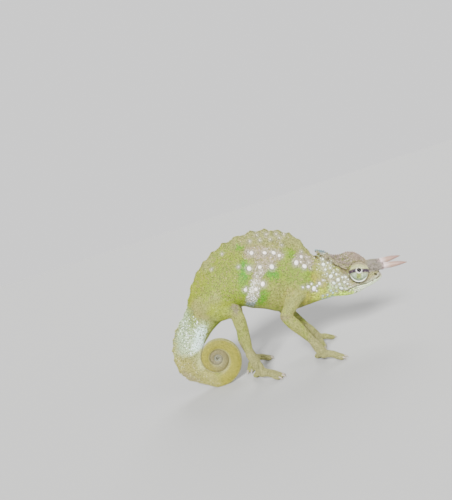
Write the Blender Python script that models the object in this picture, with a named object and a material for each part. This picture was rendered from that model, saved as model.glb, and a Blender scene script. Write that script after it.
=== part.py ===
"""A male Cameroon sailfin chameleon, life size, standing still on the floor with its tail coiled under it.

The animal is drawn in its own side plane, in millimetres: u forward, v up, y to its left, with the
middle of the tail's coil at the origin. That plane is then pitched nose down by LEAN, so that the coil
and the four feet stand on one floor, and the whole is centred over the origin and turned into metres.
"""

import bmesh
import bpy
import math
import random
from mathutils import Matrix, Vector
from mathutils.bvhtree import BVHTree

MM = 0.001
GAP = 0.3                       # between pieces that touch, and wherever one is cut by another
LEAN = math.radians(18)         # the body's pitch, nose down
COIL_HEIGHT = 11.3              # middle of the tail's coil above the floor
HEAD_ROLL = math.radians(12)    # the right cheek hangs a little
HEAD_AXIS = (45.0, 34.5)        # the line that the head rolls about, along u
SEED = 7

# The tail's coil: a logarithmic spiral that shrinks to COIL_RATIO of its radius in each turn.
COIL_RADIUS = 12.0
COIL_RATIO = 0.47
COIL_TURNS = 2.66
COIL_GAP = 0.34                 # between one turn and the next
COIL_STEPS = 16                 # sections in a turn
COIL_WIDTH = (2.7, 1.0)         # half widths where the coil starts and at the tail's tip

# Trunk and tail from the neck back: sail edge (u, v), belly (u, v), half width, sail height, roundness.
STATIONS = [
    ((42.0, 41.0), (48.6, 25.9), 5.2, 0.0, 0.30),
    ((37.5, 42.8), (42.2, 24.2), 6.0, 0.6, 0.20),
    ((35.0, 46.1), (36.6, 22.2), 6.8, 1.9, 0.10),
    ((31.4, 50.0), (30.9, 20.2), 7.6, 3.5, 0.0),
    ((26.1, 52.3), (25.3, 19.4), 8.4, 4.7, 0.0),
    ((19.4, 53.1), (19.2, 20.5), 8.9, 5.3, 0.0),
    ((13.0, 52.2), (13.9, 20.9), 8.8, 5.3, 0.0),
    ((6.6, 49.9), (10.3, 21.6), 8.4, 4.8, 0.0),
    ((0.6, 46.3), (7.1, 20.0), 7.8, 4.0, 0.0),
    ((-4.6, 41.3), (4.2, 17.7), 7.2, 3.2, 0.10),
    ((-8.4, 35.9), (1.6, 15.4), 6.6, 2.6, 0.25),
    ((-10.9, 29.8), (-0.6, 13.2), 5.9, 2.2, 0.40),
    ((-12.1, 24.1), (-2.3, 11.1), 5.2, 2.0, 0.60),
    ((-13.4, 19.2), (-3.5, 9.0), 4.7, 2.1, 0.80),
    ((-15.4, 15.4), (-4.7, 7.0), 4.3, 2.5, 1.0),
    ((-17.5, 11.3), (-6.05, 5.2), 4.0, 2.8, 1.0),
    ((-18.6, 6.3), (-7.05, 2.8), 3.8, 2.8, 1.0),
    ((-18.4, 0.9), (-7.25, -0.3), 3.5, 2.5, 1.0),
    ((-16.6, -4.9), (-6.5, -3.4), 3.3, 2.0, 1.0),
    ((-12.6, -9.0), (-4.7, -5.1), 3.1, 1.4, 1.0),
    ((-7.2, -10.5), (-2.4, -5.95), 2.9, 0.7, 1.0),
]
COIL_START = len(STATIONS)      # the station where the spiral takes over
SAIL_ROOT = 1.25                # half thickness of the sail where it leaves the back
SAIL_EDGE = 0.45                # and along its edge
SAIL_LOBE = 0.6                 # depth of the notches between the sail's lobes
SAIL_RAY = 0.22                 # how far each spine's ridge stands out of the sail's side
SAIL_SAMPLES = 4                # sections in one lobe

# Half sections from the back's ridge down to the belly: (height from the top, width), as shares.
TRUNK_SECTION = [(0, 0), (0.04, 0.24), (0.12, 0.43), (0.23, 0.62), (0.36, 0.79), (0.50, 0.92),
                 (0.63, 1.0), (0.75, 0.97), (0.86, 0.80), (0.95, 0.46), (1.0, 0.12)]
SECTION_STEPS = len(TRUNK_SECTION) - 1

# The nodes of trunk and tail, by station. The neck starts where the head ends.
BODY_NODES = [
    ("neck", 0, 1.6), ("torso_front", 1.6, 5.6), ("torso_rear", 5.6, 11.5),
    ("tail_base", 11.5, 15.5), ("tail_side", 15.5, 19.5),
]
COIL_NODES = [("tail_underside", 19.5, 26), ("tail_turn", 26, 34), ("tail_coil", 34, None)]
SAIL_NODES = [("sail_front", 1.2, 6.0), ("sail_rear", 6.0, 11.5), ("sail_tail", 11.5, 20.6)]

# Raised plates of one side, where the large pale scales are: (u, v, radius).
TRUNK_PLATES = [
    (13.5, 44.1, 0.9), (18.1, 43.9, 0.9), (21.7, 43.7, 0.9), (24.2, 42.5, 0.7), (12.4, 37.6, 1.05),
    (16.5, 38.2, 0.85), (21.1, 38.3, 1.0), (17.5, 31.9, 0.95), (14.9, 29.9, 0.85), (10.9, 29.6, 0.75),
    (8.3, 38.2, 0.9), (30.8, 39.7, 1.05), (32.9, 41.9, 0.75), (34.0, 38.3, 0.95), (35.3, 30.6, 0.7),
]
NECK_PLATES = [(38.4, 30.0, 0.95), (40.6, 32.4, 0.7)]
CHEEK_PLATES = [
    (41.9, 39.7, 0.75), (44.3, 35.6, 0.85), (46.3, 36.8, 0.5), (47.2, 34.5, 0.75), (48.9, 35.6, 0.55),
    (45.6, 33.0, 0.9), (47.9, 32.4, 0.6), (49.7, 33.5, 0.6), (48.7, 30.5, 0.95),
]
PLATE_SHIFT = 0.7               # the left side's plates lie up to this far from where the right side's do
PLATE_RISE = 0.32               # height of a plate's crown, as a share of its radius
TUBERCLE = (0.5, 0.75)          # radius and height of the cones along the casque's ridges
RIDGE_CONES = 9                 # on each ridge
RIDGE_SPAN = (0.3, 5.2)         # head stations between which they stand

# The head from the casque forward: top (u, v), chin (u, v), crest's share of the height,
# half widths of the crest, the cheek and the jaw.
HEAD_STATIONS = [
    ((38.3, 45.0), (46.6, 25.3), 0.05, 1.4, 4.6, 4.5),
    ((41.6, 44.4), (49.3, 25.7), 0.08, 2.9, 5.8, 5.2),
    ((45.1, 43.0), (51.8, 26.1), 0.15, 4.4, 6.4, 5.6),
    ((48.3, 42.7), (54.2, 26.7), 0.24, 5.5, 6.4, 5.6),
    ((51.0, 43.8), (56.2, 27.3), 0.27, 5.5, 6.0, 5.3),
    ((53.4, 43.8), (58.2, 28.2), 0.24, 5.0, 5.5, 4.9),
    ((55.9, 42.7), (60.2, 29.3), 0.22, 4.4, 5.0, 4.4),
    ((58.3, 40.7), (62.0, 30.0), 0.20, 3.7, 4.3, 3.8),
    ((60.8, 38.7), (63.6, 31.0), 0.20, 3.0, 3.6, 3.1),
    ((64.2, 36.4), (65.3, 32.5), 0.20, 2.0, 2.5, 2.0),
    ((65.7, 35.1), (65.9, 33.5), 0.30, 0.9, 1.1, 0.9),
]
MOUTH_LINE = [(72.0, 37.2), (64.9, 35.4), (62.8, 34.1), (60.7, 33.1), (58.8, 32.3), (56.7, 31.9),
              (53.7, 31.2), (51.2, 29.9), (50.2, 28.0), (49.9, 22.0), (72.0, 22.0)]
LIP_ENDS = (64.0, 51.4)         # the lips run between these places along u
LIP_OFFSET = 0.62               # from the mouth's line to the middle of a lip
LIP_RADIUS = 0.42
NOSTRIL = (62.5, 35.75, 0.36)   # (u, v) and radius
NOSTRIL_DEPTH = 0.9

# Rostral process and horn of one side: (u, distance from the middle, v, radius).
PROCESS = [(58.0, 0.9, 37.2, 2.5), (61.5, 1.8, 38.2, 2.15), (65.0, 2.5, 39.0, 1.55)]
HORN = [(65.3, 2.52, 39.05, 1.2), (68.2, 3.1, 39.8, 1.15), (71.0, 3.6, 40.5, 0.8), (73.9, 4.0, 41.1, 0.12)]
HORN_RINGS = 9
HORN_RING_DEPTH = 0.09

# The eye's turret is a ball in the cheek, drawn out towards its small opening.
EYE = (55.3, 4.5, 37.3)         # (u, distance from the middle, v) of its centre
EYE_LOOK = {"right": (-15, 15), "left": (12, 2)}     # degrees the eye turns forward and up
TURRET_PROFILE = [(-3.0, 2.2), (-1.9, 3.3), (-0.7, 3.8), (0.6, 3.88), (1.7, 3.65), (2.6, 3.12),
                  (3.3, 2.4), (3.8, 1.7), (4.15, 1.25), (4.2, 1.02), (3.8, 0.88), (3.4, 0.8)]
TURRET_SIDES = 16
PUPIL_RADIUS = 0.72
PUPIL_REACH = (3.55, 4.35)      # from the turret's centre to the back and front of the eyeball's cap

# Legs of the right side: (u, distance from the middle, v, radius).
THIGH = [(-6.5, 2.0, 21.0, 4.2), (-1.0, 5.6, 20.6, 4.4), (3.6, 8.8, 21.6, 3.3), (6.7, 10.3, 22.3, 2.45)]
SHANK = [(6.9, 10.4, 22.2, 2.35), (8.8, 10.7, 17.8, 2.5), (10.8, 10.4, 11.4, 2.15), (12.4, 9.8, 5.2, 1.7)]
UPPER_ARM = [(32.5, 3.6, 29.5, 3.2), (30.5, 6.6, 26.2, 3.0), (27.4, 9.2, 21.8, 2.4), (26.0, 10.2, 19.6, 2.1)]
FOREARM = [(26.1, 10.2, 19.4, 2.1), (29.6, 10.7, 16.6, 2.25), (33.4, 10.6, 13.2, 1.95), (36.8, 10.2, 10.0, 1.55)]
LEFT_HIND_SHIFT = -2.4          # the left feet stand a little apart from the right ones
LEFT_FORE_SHIFT = 2.2

# Feet: heading of each bundle of toes in degrees (0 forward, positive inwards), and its toes.
HIND_BUNDLES = [(-22, 3), (112, 2)]
FORE_BUNDLES = [(-24, 2), (96, 3)]
TOE_SPREAD = 13                 # degrees between the toes of one bundle
TOE_REACH = 7.2                 # from the sole's middle to the toe's end
TOE_RADIUS = 1.1
SOLE_HEIGHT = 3.6
SOLE_RADIUS = 2.0
CLAW_LENGTH = 1.5
CLAW_RADIUS = 0.42

COLOURS = {
    "skin": ((0.42, 0.45, 0.20), 0.6), "tail_skin": ((0.52, 0.50, 0.22), 0.6),
    "horn": ((0.72, 0.56, 0.54), 0.4), "eye": ((0.02, 0.02, 0.02), 0.15),
}


def blend(a, b, t):
    return a + (b - a) * t


def curve_value(values, t):
    """A smooth value between listed ones, at place t counted in list steps (Catmull-Rom)."""
    last = len(values) - 1
    i = max(0, min(int(t), last - 1))
    t -= i
    p0, p1, p2, p3 = (values[max(0, min(last, i + k))] for k in (-1, 0, 1, 2))
    return 0.5 * (2 * p1 + (p2 - p0) * t + (2 * p0 - 5 * p1 + 4 * p2 - p3) * t ** 2
                  + (3 * p1 - p0 - 3 * p2 + p3) * t ** 3)


def to_world(u, y, v):
    """A point of the side plane's frame, in millimetres, as it stands on the floor."""
    c, s = math.cos(LEAN), math.sin(LEAN)
    return Vector((u * c + v * s, y, v * c - u * s + COIL_HEIGHT)) * MM


def rolled(u, y, v):
    """A point of the straight head, after the head's roll."""
    c, s = math.cos(HEAD_ROLL), math.sin(HEAD_ROLL)
    h = v - HEAD_AXIS[1]
    return to_world(u, y * c - h * s, HEAD_AXIS[1] + y * s + h * c)


def new_material(name):
    colour, roughness = COLOURS[name]
    material = bpy.data.materials.new(name)
    material.use_nodes = True
    shader = material.node_tree.nodes["Principled BSDF"]
    shader.inputs["Base Color"].default_value = (*colour, 1)
    shader.inputs["Roughness"].default_value = roughness
    material.diffuse_color = (*colour, 1)
    return material


def new_object(name, bm, finish="skin"):
    bmesh.ops.recalc_face_normals(bm, faces=bm.faces)
    mesh = bpy.data.meshes.new(name)
    bm.to_mesh(mesh)
    bm.free()
    mesh.shade_smooth()
    mesh.set_sharp_from_angle(angle=math.radians(40))
    mesh.materials.append(bpy.data.materials.get(finish) or new_material(finish))
    obj = bpy.data.objects.new(name, mesh)
    animal.objects.link(obj)
    return obj


def loft(name, rings, finish="skin"):
    """A closed solid through rings of points, each end closed by a fan about its middle."""
    bm = bmesh.new()
    rows = [[bm.verts.new(p) for p in ring] for ring in rings]
    for low, high in zip(rows, rows[1:]):
        for i in range(len(low)):
            j = (i + 1) % len(low)
            bm.faces.new((low[i], low[j], high[j], high[i]))
    for row in (rows[0], rows[-1]):
        middle = bm.verts.new(sum((v.co for v in row), Vector()) / len(row))
        for i in range(len(row)):
            bm.faces.new((row[i], row[(i + 1) % len(row)], middle))
    bmesh.ops.triangulate(bm, faces=bm.faces)
    return new_object(name, bm, finish)


def tube(name, path, sides=10, grow=0.0, steps=3, place=to_world, ends=(45, 75)):
    """A round limb along (u, y, v, radius) stations, its ends rounded by rings at the angles in ends."""
    count = (len(path) - 1) * steps
    marks = [tuple(curve_value([p[k] for p in path], i / steps) for k in range(4)) for i in range(count + 1)]
    spine = [place(*m[:3]) for m in marks]
    radii = [(m[3] + grow) * MM for m in marks]
    start = (spine[1] - spine[0]).normalized()
    side = Vector((1, 0, 0)) if abs(start.y) > 0.7 else Vector((0, 1, 0))
    rings = []
    for i, (centre, radius) in enumerate(zip(spine, radii)):
        along = (spine[min(i + 1, count)] - spine[max(i - 1, 0)]).normalized()
        side = (side - along * side.dot(along)).normalized()
        up = along.cross(side)
        cap = [0]
        if i == 0:
            cap = [-angle for angle in reversed(ends)] + [0]
        elif i == count:
            cap = [0] + list(ends)
        for angle in map(math.radians, cap):
            hub = centre + along * radius * math.sin(angle)
            width = radius * math.cos(angle)
            rings.append([hub + (side * math.cos(a) + up * math.sin(a)) * width
                          for a in (2 * math.pi * k / sides for k in range(sides))])
    return loft(name, rings)


def mirrored(path, left, shift=0.0):
    """The stations of the right side, or those of the left with the foot's end moved along u."""
    last = len(path) - 1
    return [(u + shift * i / last, y if left else -y, v, r) for i, (u, y, v, r) in enumerate(path)]


def enclosed(faces):
    """The volume that triangles close off."""
    return sum(f.verts[0].co.dot(f.verts[1].co.cross(f.verts[2].co)) for f in faces) / 6


def keep_largest_body(mesh):
    """Drops what a cut left loose, and hollows that a union closed off."""
    bm = bmesh.new()
    bm.from_mesh(mesh)
    bmesh.ops.triangulate(bm, faces=bm.faces)
    left = set(bm.faces)
    bodies = []
    while left:
        front = [left.pop()]
        body = set(front)
        while front:
            for edge in front.pop().edges:
                for face in edge.link_faces:
                    if face in left:
                        left.remove(face)
                        body.add(face)
                        front.append(face)
        bodies.append(body)
    keep = max(bodies, key=enclosed)
    bmesh.ops.delete(bm, geom=[f for f in bm.faces if f not in keep], context="FACES")
    bm.to_mesh(mesh)
    bm.free()


def apply_boolean(obj, operation, others):
    """Joins or cuts obj with one collection of closed meshes, which are then removed."""
    home = bpy.data.collections.new("cutters")
    bpy.context.scene.collection.children.link(home)
    for other in others:
        for old in list(other.users_collection):
            old.objects.unlink(other)
        home.objects.link(other)
    modifier = obj.modifiers.new("join", "BOOLEAN")
    modifier.operation = operation
    modifier.operand_type = "COLLECTION"
    modifier.collection = home
    graph = bpy.context.evaluated_depsgraph_get()
    mesh = bpy.data.meshes.new_from_object(obj.evaluated_get(graph))
    obj.modifiers.clear()
    obj.data = mesh
    for other in list(home.objects):
        bpy.data.objects.remove(other)
    bpy.data.collections.remove(home)
    keep_largest_body(mesh)
    mesh.shade_smooth()
    mesh.set_sharp_from_angle(angle=math.radians(40))


def spiral(angle):
    """Radius of the coil's outer edge, angle radians past its lowest point."""
    return COIL_RADIUS * COIL_RATIO ** (angle / (2 * math.pi))


def coil_station(step):
    angle = 2 * math.pi * step / COIL_STEPS
    outer, inner = spiral(angle), spiral(angle) * COIL_RATIO + COIL_GAP
    way = (math.sin(angle), -math.cos(angle))
    along = step / (COIL_STEPS * COIL_TURNS)
    width = blend(COIL_WIDTH[0], COIL_WIDTH[1], min(1.0, along) ** 0.75)
    return ((outer * way[0], outer * way[1]), (inner * way[0], inner * way[1]), width, 0.0, 1.0)


ALL_STATIONS = STATIONS + [coil_station(i) for i in range(int(COIL_STEPS * COIL_TURNS) + 1)]
LAST_STATION = len(ALL_STATIONS) - 1


def station(place):
    """Edge, belly, half width, sail height and roundness at a place between the listed stations."""
    if place >= COIL_START:
        return coil_station(place - COIL_START)
    edge, belly = ([curve_value([s[k][axis] for s in ALL_STATIONS], place) for axis in (0, 1)] for k in (0, 1))
    width, height, round_share = (curve_value([s[k] for s in ALL_STATIONS], place) for k in (2, 3, 4))
    return edge, belly, width, max(0.0, height), min(1.0, max(0.0, round_share))


def back_ridge(place):
    """The top of the flesh, where the sail stands, and the unit direction from belly to back."""
    edge, belly, width, height, round_share = station(place)
    up = Vector(edge) - Vector(belly)
    length = up.length
    up.normalize()
    return Vector(belly) + up * (length - height), up, length - height


def ridge_half_width(place):
    return min(SAIL_ROOT, station(place)[2] * 0.42)


def body_ring(place, grow=0.0, stride=1):
    """One section of trunk or tail, seen along the spine."""
    width, round_share = station(place)[2], station(place)[4]
    top, up, height = back_ridge(place)
    ridge = ridge_half_width(place)
    right = []
    for i in range(0, SECTION_STEPS + 1, stride):
        angle = math.pi * i / SECTION_STEPS
        down = blend(TRUNK_SECTION[i][0], (1 - math.cos(angle)) / 2, round_share)
        side = blend(TRUNK_SECTION[i][1], max(0.12, math.sin(angle) ** 0.9), round_share)
        side = ridge if i == 0 else max(ridge if i < 3 else 0, width * side)
        point = top + up * (grow - down * (height + 2 * grow))
        right.append((point.x, side + grow, point.y))
    return [to_world(u, -y, v) for u, y, v in right] + [to_world(u, y, v) for u, y, v in reversed(right)]


def places(start, end, per_station=2, gap=GAP):
    """Places of the sections between two stations, drawn in by half a gap at each end."""
    length = (station_middle(min(start + 0.5, end)) - station_middle(start)).length / min(0.5, end - start)
    inset = gap / 2 / length
    low = start + (inset if start > 0 else 0)
    high = end - (gap / 2 / length if end < LAST_STATION else 0)
    count = max(2, round((high - low) * per_station))
    return [blend(low, high, i / count) for i in range(count + 1)]


def station_middle(place):
    edge, belly = station(place)[:2]
    return (Vector(edge) + Vector(belly)) / 2


def body_nodes():
    for name, start, end in BODY_NODES:
        loft(name, [body_ring(p) for p in places(start, end)])
    for name, start, end in COIL_NODES:
        stops = places(start, end or LAST_STATION, 1)
        loft(name, [body_ring(p, stride=2) for p in stops], "tail_skin")


def body_core(start, end, grow):
    """The flesh of several nodes in one solid, to cut a limb's root with."""
    return loft("core", [body_ring(blend(start, end, i / 12), grow) for i in range(13)])


def sail_nodes():
    """The thin crest of back and tail, with a lobe and a low ridge over each spine of the back."""
    for name, start, end in SAIL_NODES:
        rings = []
        for p in places(start, end, SAIL_SAMPLES):
            top, up, _ = back_ridge(p)
            height, root = station(p)[3], ridge_half_width(p)
            lobe = abs(math.sin(math.pi * p)) ** 0.6
            rise = height - SAIL_LOBE * (1 - lobe) * min(1.0, height / 2)
            foot = top + up * GAP
            tip = top + up * max(GAP + 0.3, rise)
            middle = (foot + tip) / 2
            edge = min(SAIL_EDGE, root * 0.8)
            ray = SAIL_RAY * (lobe - 0.5)
            right = [(foot.x, root, foot.y), (middle.x, blend(root, edge, 0.6) + ray, middle.y),
                     (tip.x, edge + ray / 2, tip.y)]
            rings.append([to_world(u, -y, v) for u, y, v in right]
                         + [to_world(u, y, v) for u, y, v in reversed(right)])
        loft(name, rings)


def head_ring(index):
    """One section of the head: ridge, crown, crest, cheek and jaw of each side."""
    columns = list(zip(*HEAD_STATIONS))
    top, chin = (Vector([curve_value([p[axis] for p in column], index) for axis in (0, 1)])
                 for column in columns[:2])
    share, crest, cheek, jaw = (curve_value(list(column), index) for column in columns[2:])
    half = [(0, crest * 0.12), (share * 0.45, crest * 0.62), (share, crest), (share + 0.07, crest * 0.97),
            (blend(share, 0.55, 0.55), blend(crest, cheek, 0.7)), (0.56, cheek), (0.68, blend(cheek, jaw, 0.4)),
            (0.80, jaw), (0.90, jaw * 0.86), (0.97, jaw * 0.55), (1.0, jaw * 0.2)]
    right = [(*(top + (chin - top) * down), side) for down, side in half]
    return [rolled(u, -y, v) for u, v, y in right] + [rolled(u, y, v) for u, v, y in reversed(right)]


def head_core(grow):
    """The back of the head, a little larger, to cut the neck with."""
    rings = []
    for i in range(7):
        ring = head_ring(i / 2)
        middle = sum(ring, Vector()) / len(ring)
        rings.append([p + (p - middle).normalized() * grow * MM for p in ring])
    back = (to_world(-0.94 * grow, 0, -0.34 * grow) - to_world(0, 0, 0))
    rings[0] = [p + back for p in rings[0]]
    return loft("core", rings)


def side_cutter(name, outline, width, shift):
    """A flat outline in the head's side plane, made a block across the whole head."""
    bm = bmesh.new()
    near = [bm.verts.new(rolled(u, -width, v + shift)) for u, v in outline]
    far = [bm.verts.new(rolled(u, width, v + shift)) for u, v in outline]
    bm.faces.new(near)
    bm.faces.new(list(reversed(far)))
    for i in range(len(near)):
        j = (i + 1) % len(near)
        bm.faces.new((near[i], near[j], far[j], far[i]))
    bmesh.ops.triangulate(bm, faces=bm.faces)
    return new_object(name, bm)


def turned(name, word, profile, sides, finish="skin"):
    """A shape turned about the line along which one eye looks, from (distance out, radius) pairs."""
    side = -1 if word == "right" else 1
    yaw, rise = map(math.radians, EYE_LOOK[word])
    centre = rolled(EYE[0], side * EYE[1], EYE[2])
    zero = to_world(0, 0, 0)
    out = to_world(math.sin(yaw) * math.cos(rise), side * math.cos(yaw) * math.cos(rise), math.sin(rise)) - zero
    along = (to_world(math.cos(yaw), -side * math.sin(yaw), 0) - zero).normalized()
    out.normalize()
    up = out.cross(along)
    rings = [[centre + out * far + (along * math.cos(a) + up * math.sin(a)) * radius * MM
              for a in (2 * math.pi * k / sides for k in range(sides))]
             for far, radius in ((far * MM, radius) for far, radius in profile)]
    return loft(name, rings, finish)


def turret(name, word, grow=0.0):
    profile = TURRET_PROFILE
    if grow:
        profile = [(far, radius + grow) for far, radius in profile if radius > 1.6]
    return turned(name, word, profile, TURRET_SIDES)


def eyeball(name, word):
    low, high = PUPIL_REACH
    shape = ((0, 0.78), (0.35, 1.0), (0.7, 0.86), (1.0, 0.36))
    turned(name, word, [(blend(low, high, share), PUPIL_RADIUS * size) for share, size in shape], 12, "eye")


def horn(name, left):
    """A tapered horn with low rings round it."""
    path = mirrored(HORN, left)
    sides, count = 12, HORN_RINGS * 2
    rings = []
    for i in range(count + 1):
        u, y, v, radius = (curve_value([p[k] for p in path], i / count * (len(path) - 1)) for k in range(4))
        radius -= HORN_RING_DEPTH * (i % 2) * min(1.0, radius)
        rings.append([rolled(u, y + radius * math.cos(a), v + radius * math.sin(a))
                      for a in (2 * math.pi * k / sides for k in range(sides))])
    return loft(name, rings, "horn")


def surface_tree(obj):
    bm = bmesh.new()
    bm.from_mesh(obj.data)
    tree = BVHTree.FromBMesh(bm)
    bm.free()
    return tree


def surface_point(tree, u, v, side, place):
    """Where a line from the side meets the surface at (u, v), and the surface's normal there."""
    start, end = place(u, side * 40, v), place(u, 0, v)
    point, normal, _, _ = tree.ray_cast(start, (end - start).normalized())
    return point, normal


def clear_of_ends(tree, u, v, reach, side, place):
    """Whether a plate of this reach lies wholly on the side of the node, off its cut ends."""
    for k in range(8):
        angle = math.pi * k / 4
        point, normal = surface_point(tree, u + reach * math.cos(angle), v + reach * math.sin(angle), side, place)
        if point is None or abs(normal.y) < 0.35:
            return False
    return True


def dome(name, point, normal, profile, sides):
    """A low plate or cone on a surface, from (radius, height) pairs in millimetres, root first."""
    across = normal.orthogonal().normalized()
    over = normal.cross(across)
    turn = random.uniform(0, math.pi)
    rings = [[point + normal * height * MM + (across * math.cos(a) + over * math.sin(a)) * radius * MM
              for a in (turn + 2 * math.pi * k / sides for k in range(sides))] for radius, height in profile]
    return loft(name, rings)


def add_plates(name, plates, place):
    """Fuses the raised pale plates of both sides to a node."""
    obj = bpy.data.objects[name]
    tree = surface_tree(obj)
    pieces = []
    for side in (-1, 1):
        for u, v, radius in plates:
            if side > 0:
                u += random.uniform(-PLATE_SHIFT, PLATE_SHIFT)
                v += random.uniform(-PLATE_SHIFT, PLATE_SHIFT)
                radius *= random.uniform(0.8, 1.15)
            if not clear_of_ends(tree, u, v, radius + GAP, side, place):
                continue
            point, normal = surface_point(tree, u, v, side, place)
            profile = [(radius, -0.5), (radius, 0.0), (radius * 0.55, radius * PLATE_RISE)]
            pieces.append(dome("plate", point, normal, profile, 6))
    if pieces:
        apply_boolean(obj, "UNION", pieces)


def ridge_tubercles(tree):
    """Cones along the casque's middle ridge and its two side crests."""
    radius, height = TUBERCLE
    cones = []
    for column, side in ((0, 1), (2, -1), (2, 1)):
        for i in range(RIDGE_CONES):
            index = blend(*RIDGE_SPAN, i / (RIDGE_CONES - 1))
            ring = head_ring(index)
            last = len(ring) - 1
            point = (ring[0] + ring[last]) / 2 if column == 0 else ring[column if side < 0 else last - column]
            nearest, normal, _, _ = tree.find_nearest(point)
            size = random.uniform(0.75, 1.1) * (1 if column else 0.85)
            profile = [(radius * size, -0.35), (radius * size, 0.0), (radius * size * 0.4, height * size)]
            cones.append(dome("cone", nearest, normal, profile, 5))
    return cones


def lip(tree, side, offset):
    """A soft ridge along the mouth, offset up or down from its line."""
    line = [p for p in MOUTH_LINE if LIP_ENDS[1] <= p[0] <= LIP_ENDS[0]]
    path = []
    for u, v in line:
        point, _ = surface_point(tree, u, v + offset, side, rolled)
        if point is not None:
            path.append((*(point / MM), LIP_RADIUS))
    return tube("lip", path, 6, steps=1, place=stand)


def head_nodes():
    last = len(HEAD_STATIONS) - 1
    rings = [head_ring(i / 2) for i in range(2 * last + 1)]
    apply_boolean(bpy.data.objects["neck"], "DIFFERENCE", [head_core(GAP)])
    head = loft("head", rings)
    jaw = loft("lower_jaw", rings)
    tree = surface_tree(head)
    apply_boolean(jaw, "UNION", [lip(tree, side, -LIP_OFFSET) for side in (-1, 1)])
    apply_boolean(jaw, "INTERSECT", [side_cutter("under", MOUTH_LINE, 12, -GAP / 2)])
    apply_boolean(head, "UNION", [tube("process", mirrored(PROCESS, left), 12, place=rolled)
                                  for left in (False, True)])
    apply_boolean(head, "UNION", [lip(tree, side, LIP_OFFSET) for side in (-1, 1)] + ridge_tubercles(tree))
    cutters = [side_cutter("mouth", MOUTH_LINE, 12, GAP / 2)]
    for left, word in ((False, "right"), (True, "left")):
        cutters.append(turret("socket", word, GAP))
        u, v, radius = NOSTRIL
        point, _ = surface_point(tree, u, v, 1 if left else -1, rolled)
        deep = point + (rolled(u - 0.4, 0, v) - point).normalized() * NOSTRIL_DEPTH * MM
        path = [(*(p / MM), radius) for p in (deep, point * 2 - deep)]
        cutters.append(tube("nostril", path, 7, steps=1, place=stand))
        u, y, v, radius = HORN[0]
        seat = [(u - GAP, y, v, radius * 1.6), (u + 3, y + 0.6, v + 0.7, radius * 1.6)]
        cutters.append(flat_tube("seat", mirrored(seat, left)))
    for cutter in cutters:
        apply_boolean(head, "DIFFERENCE", [cutter])
    for left, word in ((False, "right"), (True, "left")):
        horn("horn_" + word, left)
        turret("eye_turret_" + word, word)
        eyeball("eye_" + word, word)


def flat_tube(name, path):
    """A straight round block with flat ends."""
    sides = 12
    rings = [[rolled(u, y + r * math.cos(a), v + r * math.sin(a))
              for a in (2 * math.pi * k / sides for k in range(sides))] for u, y, v, r in path]
    return loft(name, rings)


def floor_block():
    bm = bmesh.new()
    bmesh.ops.create_cube(bm, size=0.2)
    bmesh.ops.translate(bm, verts=bm.verts, vec=(0, 0, -0.1))
    return new_object("floor", bm)


def stand(x, y, z):
    """A point given straight in the world, in millimetres."""
    return Vector((x, y, z)) * MM


def foot(name, ankle, bundles, left, shank):
    """A mitten foot: two opposed bundles of toes that stand on their pads, each toe with its claw."""
    outward = 1 if left else -1
    start = to_world(*ankle[:3]) / MM
    sole = Vector((start.x + 2.4, start.y, SOLE_HEIGHT))
    palm = [(*start, ankle[3] + 0.25), (*((start + sole) / 2), 2.0), (*sole, SOLE_RADIUS)]
    obj = tube(name, palm, 10, steps=2, place=stand, ends=(50,))
    pieces = []
    for degrees, toes in bundles:
        for k in range(toes):
            off_middle = k - (toes - 1) / 2
            heading = math.radians(degrees + off_middle * TOE_SPREAD)
            way = Vector((math.cos(heading), -outward * math.sin(heading), 0))
            reach = TOE_REACH - 0.5 * abs(off_middle) + random.uniform(-0.25, 0.25)

            def along(distance, height, radius):
                return (*(sole + way * distance + Vector((0, 0, height - sole.z))), radius)

            pieces.append(tube("toe", [
                along(0.5, SOLE_HEIGHT, TOE_RADIUS * 1.25), along(reach * 0.5, SOLE_HEIGHT * 0.78, TOE_RADIUS * 1.12),
                along(reach * 0.85, TOE_RADIUS * 1.3, TOE_RADIUS), along(reach, TOE_RADIUS * 0.86, TOE_RADIUS * 0.9),
            ], 8, steps=1, place=stand, ends=(50,)))
            pieces.append(tube("claw", [
                along(reach + 0.1, 0.95, CLAW_RADIUS), along(reach + TOE_RADIUS, 0.75, CLAW_RADIUS * 0.8),
                along(reach + CLAW_LENGTH + 0.3, 0.2, 0.08),
            ], 5, steps=1, place=stand, ends=()))
    apply_boolean(obj, "UNION", pieces)
    apply_boolean(obj, "DIFFERENCE", [tube("shank", shank, grow=GAP)])
    apply_boolean(obj, "DIFFERENCE", [floor_block()])


def leg_nodes():
    for left, word in ((False, "right"), (True, "left")):
        shift = LEFT_HIND_SHIFT if left else 0
        thigh, shank = mirrored(THIGH, left), mirrored(SHANK, left, shift)
        obj = tube("thigh_" + word, thigh, 14)
        apply_boolean(obj, "DIFFERENCE", [body_core(6.5, 15.0, GAP)])
        obj = tube("shank_" + word, shank, 12)
        apply_boolean(obj, "DIFFERENCE", [tube("knee", thigh, 14, grow=GAP)])
        foot("hind_foot_" + word, shank[-1], HIND_BUNDLES, left, shank)
        shift = LEFT_FORE_SHIFT if left else 0
        upper, lower = mirrored(UPPER_ARM, left), mirrored(FOREARM, left, shift)
        obj = tube("upper_arm_" + word, upper, 12)
        apply_boolean(obj, "DIFFERENCE", [body_core(0.2, 6.5, GAP)])
        obj = tube("forearm_" + word, lower, 12)
        apply_boolean(obj, "DIFFERENCE", [tube("elbow", upper, 12, grow=GAP)])
        foot("fore_foot_" + word, lower[-1], FORE_BUNDLES, left, lower)


def rest_tail_on_floor():
    apply_boolean(bpy.data.objects["tail_underside"], "DIFFERENCE", [floor_block()])


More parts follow.
